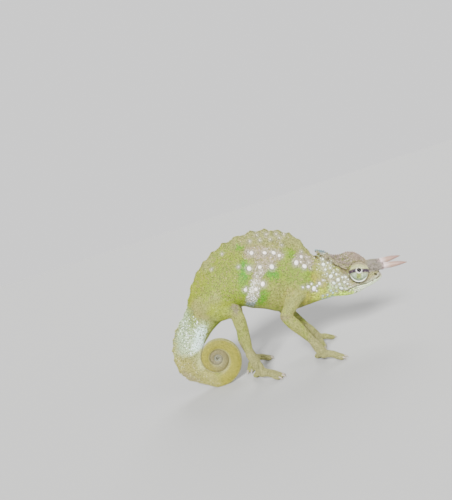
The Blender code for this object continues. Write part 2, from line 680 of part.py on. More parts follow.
def centre_over_origin():
    """Moves every mesh so that the whole stands centred over the origin."""
    points = [v.co for obj in animal.objects for v in obj.data.vertices]
    middle = [(min(p[axis] for p in points) + max(p[axis] for p in points)) / 2 for axis in (0, 1)]
    print("coil's middle from the origin, in mm:", [round(-m / MM, 3) for m in middle])
    for obj in animal.objects:
        obj.data.transform(Matrix.Translation((-middle[0], -middle[1], 0)))
    return [-m / MM for m in middle]


for old in list(bpy.data.objects):
    bpy.data.objects.remove(old)
animal = bpy.data.collections.new("sailfin_chameleon")
bpy.context.scene.collection.children.link(animal)
random.seed(SEED)
body_nodes()
sail_nodes()
head_nodes()
for node in ("torso_front", "torso_rear"):
    add_plates(node, TRUNK_PLATES, to_world)
add_plates("neck", NECK_PLATES, to_world)
add_plates("head", CHEEK_PLATES, rolled)
leg_nodes()
rest_tail_on_floor()
COIL_SHIFT = centre_over_origin()
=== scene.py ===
import bmesh
import bpy
import math
import numpy as np
from mathutils import Matrix, Vector
from mathutils.bvhtree import BVHTree
from mathutils.kdtree import KDTree


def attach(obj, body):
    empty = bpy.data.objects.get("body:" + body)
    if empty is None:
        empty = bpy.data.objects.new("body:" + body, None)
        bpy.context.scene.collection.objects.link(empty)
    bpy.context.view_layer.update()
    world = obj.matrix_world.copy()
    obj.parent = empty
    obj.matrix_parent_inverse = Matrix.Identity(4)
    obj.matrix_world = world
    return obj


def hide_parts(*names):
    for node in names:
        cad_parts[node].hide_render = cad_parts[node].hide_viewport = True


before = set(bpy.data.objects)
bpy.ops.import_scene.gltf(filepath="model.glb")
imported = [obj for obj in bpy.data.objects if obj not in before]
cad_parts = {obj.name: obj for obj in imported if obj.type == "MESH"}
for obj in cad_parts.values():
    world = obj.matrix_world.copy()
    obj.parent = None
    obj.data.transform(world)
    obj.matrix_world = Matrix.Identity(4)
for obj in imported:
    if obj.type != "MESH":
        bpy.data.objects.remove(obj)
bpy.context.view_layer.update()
print("frame loaded:", len(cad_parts), "nodes")

mm = 0.001

# The animal is drawn in its own side plane, in millimetres: u forward, y to its left, v up, with the
# middle of the tail's coil at the start. That plane is pitched nose down, so that coil and feet share
# one floor.
pose = {
    "lean": math.radians(18),
    "coilHeight": 11.3,              # the coil's middle above the floor
    "coilMiddle": (-32.858, -0.011), # and from the origin
    "headRoll": math.radians(12),    # the right cheek hangs a little
    "headAxis": 34.5,                # height of the line it rolls about
    "coatDepth": 0.14,               # the skin lies this far inside the coat's surface
}

# Trunk and tail from the neck back: sail edge (u, v), belly (u, v), half width, sail height, roundness.
body = {
    "stations": [
        (42.0, 41.0, 48.6, 25.9, 5.2, 0.0, 0.30), (37.5, 42.8, 42.2, 24.2, 6.0, 0.6, 0.20),
        (35.0, 46.1, 36.6, 22.2, 6.8, 1.9, 0.10), (31.4, 50.0, 30.9, 20.2, 7.6, 3.5, 0.0),
        (26.1, 52.3, 25.3, 19.4, 8.4, 4.7, 0.0), (19.4, 53.1, 19.2, 20.5, 8.9, 5.3, 0.0),
        (13.0, 52.2, 13.9, 20.9, 8.8, 5.3, 0.0), (6.6, 49.9, 10.3, 21.6, 8.4, 4.8, 0.0),
        (0.6, 46.3, 7.1, 20.0, 7.8, 4.0, 0.0), (-4.6, 41.3, 4.2, 17.7, 7.2, 3.2, 0.10),
        (-8.4, 35.9, 1.6, 15.4, 6.6, 2.6, 0.25), (-10.9, 29.8, -0.6, 13.2, 5.9, 2.2, 0.40),
        (-12.1, 24.1, -2.3, 11.1, 5.2, 2.0, 0.60), (-13.4, 19.2, -3.5, 9.0, 4.7, 2.1, 0.80),
        (-15.4, 15.4, -4.7, 7.0, 4.3, 2.5, 1.0), (-17.5, 11.3, -5.65, 5.1, 4.0, 2.8, 1.0),
        (-18.6, 6.3, -6.2, 2.6, 3.8, 2.8, 1.0), (-18.4, 0.9, -6.2, -0.3, 3.5, 2.5, 1.0),
        (-16.6, -4.9, -5.3, -2.8, 3.3, 2.0, 1.0), (-12.6, -9.0, -3.85, -4.25, 3.1, 1.4, 1.0),
        (-7.2, -10.5, -2.0, -5.2, 2.9, 0.7, 1.0),
    ],
    # half a section from the back's ridge to the belly: (height from the top, width), as shares
    "section": [(0, 0), (0.04, 0.24), (0.12, 0.43), (0.23, 0.62), (0.36, 0.79), (0.50, 0.92),
                (0.63, 1.0), (0.75, 0.97), (0.86, 0.80), (0.95, 0.46), (1.0, 0.12)],
    "flankSteps": 34,
    "rowStep": 0.1,                  # stations between two rows of the trunk
    "skinEnd": 20.75,                # the trunk's skin ends here and the coil's begins
    "coilJoint": 0.12,               # stations bridged between the two
}
sail = {
    "root": 1.25, "edge": 0.45,      # half thickness at the back and along the edge
    "lobe": 0.95,                    # depth of the notches between the lobes
    "tips": [1.6, 2.61, 3.60, 4.34, 5.13, 5.98, 6.97, 7.80, 8.58, 9.32, 10.12, 11.0, 12.0, 13.1, 14.1,
             15.0, 15.8, 16.6, 17.4, 18.3, 19.2, 20.1, 21.0],   # stations where the lobes' spines end
    "ray": 0.26,                     # how far each spine's ridge stands out
    "steps": 9,
}
coil = {
    "radius": 12.0, "ratio": 0.47,   # each turn shrinks to this share of the one before
    "turns": 4.3, "gap": -0.16, "steps": 16,   # gap between two turns, and stations in each
    "widths": [(0, 2.7), (1, 1.75), (2, 1.12), (2.7, 0.8), (4.3, 0.3)],   # half width after so many turns
    "rowLength": 0.36, "sides": 40,  # of the skin's own rings
}

# The head from the casque forward: top (u, v), chin (u, v), crest's share of the height,
# half widths of the crest, the cheek and the jaw.
head = {
    "stations": [
        (38.3, 45.0, 46.6, 25.3, 0.05, 1.4, 4.6, 4.5), (41.6, 44.4, 49.3, 25.7, 0.08, 2.9, 5.8, 5.2),
        (45.1, 43.0, 51.8, 26.1, 0.15, 4.4, 6.4, 5.6), (48.3, 42.7, 54.2, 26.7, 0.24, 5.5, 6.4, 5.6),
        (51.0, 43.8, 56.2, 27.3, 0.27, 5.5, 6.0, 5.3), (53.4, 43.8, 58.2, 28.5, 0.24, 5.0, 5.5, 4.9),
        (55.9, 42.7, 60.2, 29.8, 0.22, 4.4, 5.0, 4.4), (58.3, 40.7, 62.0, 30.7, 0.20, 3.7, 4.3, 3.8),
        (60.8, 38.7, 63.6, 31.8, 0.20, 3.0, 3.6, 3.1), (64.2, 36.4, 65.2, 33.0, 0.20, 2.0, 2.5, 2.0),
        (65.7, 35.1, 65.9, 33.8, 0.30, 0.9, 1.1, 0.9),
    ],
    "mouth": [(67.5, 35.9), (64.9, 35.4), (62.8, 34.1), (60.7, 33.1), (58.8, 32.3), (56.7, 31.9),
              (53.7, 31.2), (51.2, 29.9), (50.2, 28.3)],
    "crest": [(38.7, 44.0), (42.2, 42.9), (46.1, 40.5), (49.7, 38.9), (52.4, 39.5)],
    "cheek": [(41.5, 40.5), (45.6, 34.5), (50.4, 33.5)],
    "lipWidths": [(49, 6.2), (54, 5.3), (60, 3.9), (64, 2.3), (65.6, 0.9)],   # half width by u
    "nostril": (62.5, 35.75), "nostrilSlit": [(62.1, 35.82), (62.9, 35.55)],
    "process": [(58.0, 0.9, 37.2, 2.5), (61.5, 1.8, 38.2, 2.15), (65.0, 2.5, 39.0, 1.5)],
    "rowStep": 0.1,
}
horn = {
    "path": [(64.6, 2.46, 38.95, 1.28), (65.3, 2.52, 39.05, 1.2), (68.2, 3.1, 39.8, 1.15),
             (71.0, 3.6, 40.5, 0.8), (73.9, 4.0, 41.1, 0.1)],
    "rings": 21, "ringDepth": 0.075, "sides": 28, "rows": 150,
}
eye = {
    "centre": (55.3, 4.5, 37.3),
    "look": {"right": (-15, 15), "left": (12, 2)},   # degrees forward and up
    # turned profile of the turret: (distance out, radius)
    "turret": [(-3.0, 2.1), (-1.9, 3.1), (-0.7, 3.55), (0.6, 3.62), (1.7, 3.42), (2.6, 2.95), (3.3, 2.3),
               (3.8, 1.66), (4.12, 1.26), (4.2, 1.05), (4.12, 0.9), (3.8, 0.84), (3.3, 0.82)],
    "granule": 0.40,                 # spacing of the turret's granules
    # the eyeball in its opening: a plug between these distances out, with a dome on its end
    "ball": {"from": 3.1, "to": 3.62, "dome": 0.62, "radius": 0.86},
    # the skin drops round the turret between these radii, behind a low lip
    "socket": (3.45, 3.82), "socketDepth": 2.6, "lip": 4.4, "lipWide": 0.34,
    # the pale rim of the lower lid: from and to these degrees, its half axes, half thickness, and how far
    # out it lies by its distance from the middle
    "rim": {"turns": (197, 343), "axes": (3.40, 4.0), "thick": 0.25, "steps": 25,
            "out": ((3.3, 1.80), (3.62, 1.2), (4.0, 1.05))},
}
legs = {
    # right side: (u, distance from the middle, v, radius)
    "thigh": [(-5.0, 1.4, 22.5, 4.0), (-0.6, 5.4, 21.0, 4.5), (3.6, 8.8, 21.6, 3.4), (6.7, 10.3, 22.3, 2.4)],
    "shank": [(6.9, 10.4, 22.2, 2.3), (8.6, 10.8, 17.8, 2.65), (10.8, 10.4, 11.4, 2.05),
              (12.4, 9.8, 5.2, 1.6)],
    "upperArm": [(32.5, 3.6, 29.5, 3.2), (30.5, 6.6, 26.2, 3.0), (27.4, 9.2, 21.8, 2.4),
                 (26.0, 10.2, 19.6, 2.1)],
    "forearm": [(26.1, 10.2, 19.4, 2.05), (29.2, 10.8, 16.9, 2.45), (33.4, 10.6, 13.2, 1.9),
                (36.8, 10.2, 10.0, 1.5)],
    "leftHindShift": -2.4, "leftForeShift": 2.2,   # how far ahead of the right ones the left feet stand
}
foot = {
    "hind": [(-22, 3), (112, 2)],    # heading of each bundle in degrees, positive inwards, and its toes
    "fore": [(-24, 2), (96, 3)],
    "spread": 13, "reach": 7.2, "radius": 1.1,   # degrees between toes, their length and radius
    "ankleForward": 2.4, "soleHeight": 3.6, "soleRadius": 2.0,
    "mitten": 0.62,                  # share of the toes that skin joins
    "claw": 1.5, "clawRadius": 0.42,
}
skinMesh = {
    "voxel": 0.42, "smooth": 4,
    "jointRounds": 34,               # rounds of smoothing where limbs and head join
    # where limbs join: (u, distance from the middle, v), and how far the smoothing reaches
    "joints": (((-3.6, 4.8, 21.5), 6.4), ((31.0, 6.0, 27.5), 4.4), ((6.8, 10.3, 22.2), 1.5),
               ((26.0, 10.2, 19.5), 1.6), ((12.4, 9.8, 5.6), 1.8), ((36.8, 10.2, 10.0), 1.6)),
    "neck": [(42.3, 38.5), (46.9, 25.0)],   # the line along which the head joins
    "halved": (45.5, 25.0, 7.4),     # faces beyond this u, above this v and this near the middle
    "cutReach": 6.5,                 # no face further from the tail's cut is touched by it
    "floor": 0.02,                   # nothing of it lies lower
}
seed = 11


def blend(a, b, t):
    return a + (b - a) * t


def smoothStep(low, high, value):
    t = np.clip((value - low) / (high - low), 0, 1)
    return t * t * (3 - 2 * t)


def unit(ways):
    # one way, or rows of them, made of length one
    if ways.ndim == 1:
        return ways / np.linalg.norm(ways)
    return ways / np.linalg.norm(ways, axis=1)[:, None]


def curveValue(values, place):
    # a smooth value between listed ones, place counted in list steps
    values, place = np.asarray(values, float), np.asarray(place, float)
    last = len(values) - 1
    i = np.clip(place.astype(int), 0, last - 1)
    t = place - i
    if values.ndim > 1:
        t = t[..., None]
    p0, p1, p2, p3 = (values[np.clip(i + k, 0, last)] for k in (-1, 0, 1, 2))
    return 0.5 * (2 * p1 + (p2 - p0) * t + (2 * p0 - 5 * p1 + 4 * p2 - p3) * t ** 2
                  + (3 * p1 - p0 - 3 * p2 + p3) * t ** 3)


def placeWorld(points):
    # world millimetres before the animal is centred, to metres
    shift = np.array((*pose["coilMiddle"], 0.0))
    return (np.asarray(points, float) + shift) * mm


def axes(points):
    # the three columns of rows of places
    return np.moveaxis(np.asarray(points, float), -1, 0)


def pitched(points):
    u, y, v = axes(points)
    c, s = math.cos(pose["lean"]), math.sin(pose["lean"])
    return np.stack((u * c + v * s, y, v * c - u * s + pose["coilHeight"]), -1)


def placeBody(points):
    return placeWorld(pitched(points))


def placeHead(points):
    # the head is rolled about its own line first
    u, y, v = axes(points)
    c, s = math.cos(pose["headRoll"]), math.sin(pose["headRoll"])
    h = v - pose["headAxis"]
    return placeBody(np.stack((u, y * c - h * s, pose["headAxis"] + y * s + h * c), -1))


def bodyPlane(points):
    # metres back to (u, y, v) of the side plane
    x, y, z = axes(np.asarray(points, float) / mm)
    c, s = math.cos(pose["lean"]), math.sin(pose["lean"])
    x, y, z = x - pose["coilMiddle"][0], y - pose["coilMiddle"][1], z - pose["coilHeight"]
    return np.stack((x * c - z * s, y, x * s + z * c), -1)


def headPlane(points):
    u, y, v = axes(bodyPlane(points))
    c, s = math.cos(pose["headRoll"]), math.sin(pose["headRoll"])
    h = v - pose["headAxis"]
    return np.stack((u, y * c + h * s, pose["headAxis"] - y * s + h * c), -1)


def coilStation(step):
    angle = 2 * math.pi * step / coil["steps"]
    outer = coil["radius"] * coil["ratio"] ** (angle / (2 * math.pi))
    inner = outer * coil["ratio"] + coil["gap"]
    way = (math.sin(angle), -math.cos(angle))
    width = np.interp(step / coil["steps"], *zip(*coil["widths"]))
    return np.array((outer * way[0], outer * way[1], inner * way[0], inner * way[1], width, 0.0, 1.0))


coilStart = len(body["stations"])
lastStation = coilStart + int(coil["steps"] * coil["turns"])
allStations = np.array(body["stations"] + [tuple(coilStation(i)) for i in range(lastStation - coilStart + 1)])


def station(place):
    if place >= coilStart:
        return coilStation(place - coilStart)
    found = curveValue(allStations, place)
    found[5] = max(0.0, found[5])
    found[6] = min(1.0, max(0.0, found[6]))
    return found


def backRidge(place):
    # the top of the flesh, the way up from belly to back, and the height between them
    found = station(place)
    edge, belly = found[:2], found[2:4]
    up = edge - belly
    length = np.linalg.norm(up)
    up = up / length
    return belly + up * (length - found[5]), up, length - found[5]


def sailProfile(place):
    # half widths and heights up one side of the sail, and how high it stands here
    height = station(place)[5]
    root = min(sail["root"], station(place)[4] * 0.42)
    phase = np.interp(place, sail["tips"], np.arange(len(sail["tips"])))
    lobe = 1 - abs(math.sin(math.pi * phase)) ** 1.1
    notch = sail["lobe"] * np.interp(place, (7.0, 11.0), (1.0, 0.62))
    rise = max(0.06, height - notch * (1 - lobe) * min(1.0, height / 2))
    share = np.linspace(1, 0, sail["steps"], endpoint=False)
    edge = min(sail["edge"], root * 0.8)
    side = blend(edge, root, (1 - share) ** 1.3) + sail["ray"] * (lobe - 0.5) * np.sin(np.pi * share) ** 0.5
    side[0] *= 0.45
    return side, share * rise, root


def bodyRing(place, sides=None):
    found = station(place)
    width, roundness = found[4], found[6]
    top, up, height = backRidge(place)
    t = np.linspace(0, 1, (sides or body["flankSteps"]) + 1)
    shares = curveValue(body["section"], t * (len(body["section"]) - 1))
    square = np.interp(place, (15, 20), (0.9, 0.62))
    down = blend(shares[:, 0], (1 - np.cos(np.pi * t)) / 2, roundness)
    side = width * blend(shares[:, 1], np.maximum(0.12, np.sin(np.pi * t) ** square), roundness)
    if sides:                        # a plain section of the coil, with no sail
        rise = np.zeros(0)
        lift = -down * height
    else:
        sailSide, rise, root = sailProfile(place)
        side = np.where(t < 0.25, np.maximum(side, root), side)
        side = np.concatenate((sailSide, side))
        lift = np.concatenate((rise, -down * height))
    flat = top + up * lift[:, None]
    right = np.stack((flat[:, 0], side, flat[:, 1]), -1)
    left = right[::-1] * (1, -1, 1)
    return np.concatenate((right, left))


def ringGrid(bm, rings):
    # a grid whose rows become rings, its seam merged; gives its open edges
    rows, around = rings.shape[:2]
    verts = bmesh.ops.create_grid(bm, x_segments=around, y_segments=rows - 1, size=1)["verts"]
    for k, vert in enumerate(verts):
        i, j = divmod(k, around + 1)
        vert.co = rings[i, j % around]
    bmesh.ops.remove_doubles(bm, verts=verts, dist=1e-8)
    return list({e for v in verts if v.is_valid for e in v.link_edges if e.is_boundary})


def wrapGrid(bm, rings):
    bmesh.ops.holes_fill(bm, edges=ringGrid(bm, rings), sides=0)


def limbRings(path, sides=24, steps=6, place=placeBody, ends=(30, 60, 82)):
    # round rings along (u, y, v, radius) stations, with round ends
    count = (len(path) - 1) * steps
    marks = curveValue(path, np.linspace(0, len(path) - 1, count + 1))
    spine = place(marks[:, :3])
    radii = marks[:, 3] * mm
    first = spine[1] - spine[0]
    sideways = abs(first[1]) >= 0.6 * np.linalg.norm(first)
    side = np.array((1.0, 0.0, 0.0) if sideways else (0.0, 1.0, 0.0))
    turn = np.linspace(0, 2 * np.pi, sides, endpoint=False)[:, None]
    rings = []
    for i, (centre, radius) in enumerate(zip(spine, radii)):
        along = unit(spine[min(i + 1, count)] - spine[max(i - 1, 0)])
        side = unit(side - along * side.dot(along))
        up = np.cross(along, side)
        caps = [0]
        if i == 0:
            caps = [-a for a in reversed(ends)] + [0]
        elif i == count:
            caps = [0] + list(ends)
        for angle in np.radians(caps):
            hub = centre + along * radius * math.sin(angle)
            rings.append(hub + (side * np.cos(turn) + up * np.sin(turn)) * radius * math.cos(angle))
    return np.array(rings)


def mirrored(path, left, shift=0.0):
    last = len(path) - 1
    return [(u + shift * i / last, y if left else -y, v, r) for i, (u, y, v, r) in enumerate(path)]


def linked(name, data):
    obj = bpy.data.objects.new(name, data)
    bpy.context.scene.collection.objects.link(obj)
    return obj


def newObject(name, bm, closed=False):
    if closed:
        bmesh.ops.recalc_face_normals(bm, faces=bm.faces)
    mesh = bpy.data.meshes.new(name)
    bm.to_mesh(mesh)
    bm.free()
    mesh.shade_smooth()
    return linked(name, mesh)


def fuse(obj, voxel):
    remesh = obj.modifiers.new("fuse", "REMESH")
    remesh.mode = "VOXEL"
    remesh.voxel_size = voxel * mm


def finishedMesh(obj):
    # what the modifiers make of it, kept in its place
    graph = bpy.context.evaluated_depsgraph_get()
    made = bpy.data.meshes.new_from_object(obj.evaluated_get(graph))
    obj.modifiers.clear()
    obj.data = made
    return made


def readValues(items, key, width, kind=np.float32):
    # one property of all items of a mesh, in rows of so many
    values = np.empty(len(items) * width, kind)
    items.foreach_get(key, values)
    return values.reshape(-1, width).astype(float if kind is np.float32 else int)


def readPoints(mesh):
    return readValues(mesh.vertices, "co", 3)


def readNormals(mesh):
    return readValues(mesh.vertex_normals, "vector", 3)


def meshEdges(mesh):
    return readValues(mesh.edges, "vertices", 2, np.int32)


def writePoints(mesh, points):
    mesh.vertices.foreach_set("co", points.astype(np.float32).ravel())
    mesh.update()


def writeValues(mesh, name, values):
    # an attribute of the mesh's points, of numbers or of rows of three, that the materials read
    kind, key = ("FLOAT_VECTOR", "vector") if np.ndim(values) > 1 else ("FLOAT", "value")
    made = mesh.attributes.new(name, kind, "POINT")
    made.data.foreach_set(key, np.asarray(values, np.float32).ravel())


def inOrder(bm):
    # operators may leave points and faces in another order each run; here they are sorted by place
    def rank(place):
        x, y, z = (round(c / mm, 3) for c in place)
        return z, y, x

    for items, middle in ((bm.verts, lambda v: v.co), (bm.faces, lambda f: f.calc_center_median())):
        for i, item in enumerate(sorted(items, key=lambda item: rank(middle(item)))):
            item.index = i
        items.sort()


def kdTree(spots):
    tree = KDTree(len(spots))
    for i, spot in enumerate(spots.tolist()):
        tree.insert(spot, i)
    tree.balance()
    return tree


def smoothed(points, edges, weight, times):
    # each point moves towards the middle of its neighbours
    count = np.bincount(edges.ravel(), minlength=len(points))[:, None]
    weight = np.broadcast_to(np.asarray(weight, float), (len(points),))[:, None] * 0.5
    for _ in range(times):
        total = np.zeros_like(points)
        for axis in range(3):
            total[:, axis] = (np.bincount(edges[:, 0], points[edges[:, 1], axis], len(points))
                              + np.bincount(edges[:, 1], points[edges[:, 0], axis], len(points)))
        points = points + (total / np.maximum(count, 1) - points) * weight
    return points


def distanceToPath(points, path):
    # from each point to the nearest place of a broken line, in the same units
    path = np.asarray(path, float)
    best = np.full(len(points), 1e9)
    if len(path) == 1:
        return np.linalg.norm(points - path[0], axis=1)
    for a, b in zip(path, path[1:]):
        along = b - a
        share = np.clip((points - a) @ along / max(along @ along, 1e-12), 0, 1)
        best = np.minimum(best, np.linalg.norm(points - a - share[:, None] * along, axis=1))
    return best


def runAlong(points):
    # the length from the start of a line to each of its points
    return np.concatenate(([0], np.cumsum(np.linalg.norm(np.diff(points, axis=0), axis=1))))


def curvedPath(path, steps=6):
    return curveValue(path, np.linspace(0, len(path) - 1, (len(path) - 1) * steps + 1))


def toePaths(ankle, bundles, left, seedShift):
    # the sole's middle and, for each toe, its stations in world millimetres
    draw = np.random.default_rng(seed + seedShift)
    outward = 1 if left else -1
    start = pitched(ankle[:3])
    sole = np.array((start[0] + foot["ankleForward"], start[1], foot["soleHeight"]))
    toes, mittens = [], []
    for degrees, count in bundles:
        tips = []
        for k in range(count):
            off = k - (count - 1) / 2
            heading = math.radians(degrees + off * foot["spread"])
            way = np.array((math.cos(heading), -outward * math.sin(heading), 0.0))
            reach = foot["reach"] - 0.5 * abs(off) + draw.uniform(-0.2, 0.2)
            toes.append((way, reach))
            tips.append(sole + way * reach * foot["mitten"])
        mittens.append((sole, np.mean(tips, axis=0), 0.55 * (count - 1)))
    return start, sole, toes, mittens


def legPieces():
    # (kind, side, stations) of every length of limb, in the side plane
    found = []
    for left in (False, True):
        for upper, lower, shift in (("thigh", "shank", legs["leftHindShift"]),
                                    ("upperArm", "forearm", legs["leftForeShift"])):
            found.append((upper, left, mirrored(legs[upper], left)))
            found.append((lower, left, mirrored(legs[lower], left, shift if left else 0)))
    return found


def footPieces():
    return [("hind" if kind == "shank" else "fore", left, path[-1]) for kind, left, path in legPieces()
            if kind in ("shank", "forearm")]


def toeStations(sole, way, reach):
    radius = foot["radius"]
    rows = [(0.5, foot["soleHeight"], radius * 1.25), (reach * 0.5, foot["soleHeight"] * 0.78, radius * 1.12),
            (reach * 0.85, radius * 1.3, radius), (reach, radius * 0.92, radius * 0.9)]
    return [(*(sole + way * far)[:2], height, r) for far, height, r in rows]


def addFeet(bm):
    for index, (kind, left, ankle) in enumerate(footPieces()):
        start, sole, toes, mittens = toePaths(ankle, foot[kind], left, index)
        palm = [(*start, ankle[3] + 0.2), (*((start + sole) / 2), 2.0), (*sole, foot["soleRadius"])]
        wrapGrid(bm, limbRings(palm, place=placeWorld))
        for way, reach in toes:
            wrapGrid(bm, limbRings(toeStations(sole, way, reach), 16, place=placeWorld))
        for near, far, spread in mittens:
            for side in (-0.5, 0.5):
                across = np.cross(unit(far - near), (0, 0, 1)) * side * spread
                low = np.array((0, 0, foot["soleHeight"] * 0.30))
                web = [(*near, 1.5), (*((near + far) / 2 + across - low * 0.5), 1.35),
                       (*(far + across - low), 1.1)]
                wrapGrid(bm, limbRings(web, 16, place=placeWorld))


def joinedFlesh():
    # trunk with its sail, head, process and limbs, overlapping, ready to be fused
    bm = bmesh.new()
    places = np.arange(0, body["skinEnd"] + 0.45, body["rowStep"])
    wrapGrid(bm, np.array([placeBody(bodyRing(p)) for p in places]))
    rows = np.arange(0, len(head["stations"]) - 1 + 1e-6, head["rowStep"])
    wrapGrid(bm, np.array([placeHead(headRing(p)) for p in rows]))
    for left in (False, True):
        wrapGrid(bm, limbRings(mirrored(head["process"], left), place=placeHead))
    for _, _, path in legPieces():
        wrapGrid(bm, limbRings(path))
    addFeet(bm)
    return newObject("skin", bm)


def headRing(index):
    # half a section: ridge, crown, crest, cheek and jaw, made smooth but for the crest's edge
    found = curveValue(head["stations"], index)
    top, chin, share, crest, cheek, jaw = found[:2], found[2:4], *found[4:]
    over = [(0, crest * 0.12), (share * 0.45, crest * 0.62), (share, crest)]
    under = [(share + 0.035, crest * 0.99), (share + 0.09, crest * 0.965),
             (blend(share, 0.55, 0.55), blend(crest, cheek, 0.7)), (0.56, cheek),
             (0.68, blend(cheek, jaw, 0.4)), (0.80, jaw), (0.90, jaw * 0.86), (0.97, jaw * 0.55),
             (1.0, jaw * 0.2)]
    half = np.concatenate((curveValue(over, np.linspace(0, 2, 9)), curveValue(under, np.linspace(0, 8, 37))))
    flat = top + (chin - top) * half[:, :1]
    right = np.stack((flat[:, 0], half[:, 1], flat[:, 1]), -1)
    return np.concatenate((right, right[::-1] * (1, -1, 1)))


def eyeFrame(word):
    # centre, and the ways forward, up and out of one eye, in metres
    side = -1 if word == "right" else 1
    yaw, rise = map(math.radians, eye["look"][word])
    u, y, v = eye["centre"]
    centre = placeHead((u, side * y, v))
    zero = placeBody((0, 0, 0))
    level = math.cos(rise)
    out = placeBody((math.sin(yaw) * level, side * math.cos(yaw) * level, math.sin(rise))) - zero
    along = placeBody((math.cos(yaw), -side * math.sin(yaw), 0)) - zero
    out, along = unit(out), unit(along)
    return centre, along, np.cross(out, along) * -side, out


def eyeSight(points, word):
    # places over one eye in millimetres: (along, up), how far from the line of sight, and how far out
    centre, along, up, out = eyeFrame(word)
    local = (points - centre) / mm
    flat = np.stack((local @ along, local @ up), -1)
    return flat, np.linalg.norm(flat, axis=1), local @ out


def jointSmoothing(plane):
    # how much each point is smoothed where limbs and head meet their neighbours
    weight = np.zeros(len(plane))
    mirror = np.stack((plane[:, 0], np.abs(plane[:, 1]), plane[:, 2]), -1)
    for place, reach in skinMesh["joints"]:
        far = np.linalg.norm(mirror - place, axis=1)
        weight = np.maximum(weight, 1 - smoothStep(reach * 0.7, reach * 1.25, far))
    back = distanceToPath(plane[:, [0, 2]], skinMesh["neck"])
    weight = np.maximum(weight, (1 - smoothStep(1.0, 2.2, back)) * smoothStep(38.5, 36.0, plane[:, 2]))
    return weight


# Strokes that shape the skin: paths in the side plane, how wide, and how far out (or in) along the surface.
headStrokes = [
    {"path": head["mouth"], "wide": 0.24, "out": -0.42},
    {"path": [(u, v + 0.62) for u, v in head["mouth"][1:-1]], "wide": 0.30, "out": 0.15},
    {"path": [(u, v - 0.66) for u, v in head["mouth"][1:-1]], "wide": 0.34, "out": 0.17},
    {"path": head["crest"], "wide": 0.42, "out": 0.26},
    {"path": [(u + 0.3, v - 1.1) for u, v in head["crest"][:-1]], "wide": 0.5, "out": -0.30},
    {"path": [(43.6, 42.9), (47.2, 41.5), (50.4, 41.2)], "wide": 1.0, "out": -0.30},
    {"path": [(46.2, 34.3), (47.2, 33.6)], "wide": 2.6, "out": 0.30},
    {"path": [(50.9, 40.6), (53.4, 42.2), (56.4, 41.9), (59.0, 40.2)], "wide": 0.55, "out": 0.18},
    {"path": [head["nostril"]], "wide": 0.80, "out": 0.14},
    {"path": [(62.2, 35.8), (62.8, 35.6)], "wide": 0.30, "out": -0.48},
    {"path": [(63.9, 37.35), (66.0, 36.9)], "wide": 0.50, "out": -0.18},
    {"path": [(50.3, 28.4), (49.0, 27.0), (48.6, 25.4)], "wide": 0.35, "out": -0.25},
    {"path": [(59.6, 36.4), (61.4, 35.0)], "wide": 0.8, "out": -0.18},
]
throatFolds = ([(41.6, 32.7), (45.0, 29.8), (48.2, 27.0)], [(43.2, 33.6), (47.0, 30.4), (50.3, 28.2)])
bodyStrokes = [
    {"path": [(39.4, 43.2), (41.0, 40.6), (43.0, 36.8)], "wide": 0.9, "out": -0.26},
    {"path": throatFolds[0], "wide": 0.36, "out": -0.34},
    {"path": throatFolds[1], "wide": 0.36, "out": -0.30},
    {"path": [(40.2, 31.4), (43.4, 28.4), (46.0, 26.0)], "wide": 0.36, "out": -0.22},
    {"path": [(34.6, 35.5), (33.0, 31.0)], "wide": 2.4, "out": 0.32},
    {"path": [(36.0, 27.4), (33.8, 25.6), (31.6, 23.4)], "wide": 0.8, "out": -0.16},
    {"path": [(27.5, 30.5), (26.0, 27.0), (25.4, 24.2)], "wide": 0.6, "out": -0.22},
    {"path": [(-7.0, 27.0), (-3.0, 26.6), (2.2, 26.0), (5.2, 25.3)], "wide": 1.2, "out": -0.14},
    {"path": [(6.6, 22.6), (10.0, 22.2)], "wide": 0.5, "out": -0.2},
]


def pressed(points, normals, flat, strokes, mask=1.0):
    for stroke in strokes:
        path = stroke["path"] if len(stroke["path"]) < 3 else curvedPath(stroke["path"])
        far = distanceToPath(flat, path)
        out = np.exp(-(far / stroke["wide"]) ** 2) * stroke["out"] * mm * mask
        points = points + normals * out[:, None]
    return points


def sinkSockets(points):
    # the skin drops round each turret, behind a low lip
    for word in ("right", "left"):
        flat, radius, far = eyeSight(points, word)
        drop = (1 - smoothStep(*eye["socket"], radius)) * eye["socketDepth"]
        low = smoothStep(0.5, -3.0, flat[:, 1])
        lip = np.exp(-((radius - eye["lip"]) / eye["lipWide"]) ** 2) * (0.10 + 0.12 * low)
        points = points + eyeFrame(word)[3] * ((lip - drop) * (far > -0.5) * mm)[:, None]
    return points


def nearestLimb(plane):
    # how far outside the nearest length of limb each point lies
    best = np.full(len(plane), 1e9)
    for _, _, path in legPieces():
        marks = curveValue(path, np.linspace(0, len(path) - 1, 13))
        for (a, ra), (b, rb) in zip(((m[:3], m[3]) for m in marks), ((m[:3], m[3]) for m in marks[1:])):
            along = b - a
            share = np.clip((plane - a) @ along / (along @ along), 0, 1)
            far = np.linalg.norm(plane - a - share[:, None] * along, axis=1)
            best = np.minimum(best, far - blend(ra, rb, share))
    return best


def refineHead(obj):
    # the head's faces are halved, so that lips, lids and creases have room
    bm = bmesh.new()
    bm.from_mesh(obj.data)
    plane = headPlane(np.array([v.co for v in bm.verts]))
    u, v, wide = skinMesh["halved"]
    chosen = (plane[:, 0] > u) & (plane[:, 2] > v) & (np.abs(plane[:, 1]) < wide)
    edges = [e for e in bm.edges if chosen[e.verts[0].index] and chosen[e.verts[1].index]]
    bmesh.ops.subdivide_edges(bm, edges=edges, cuts=1, use_grid_fill=True)
    bm.to_mesh(obj.data)
    bm.free()


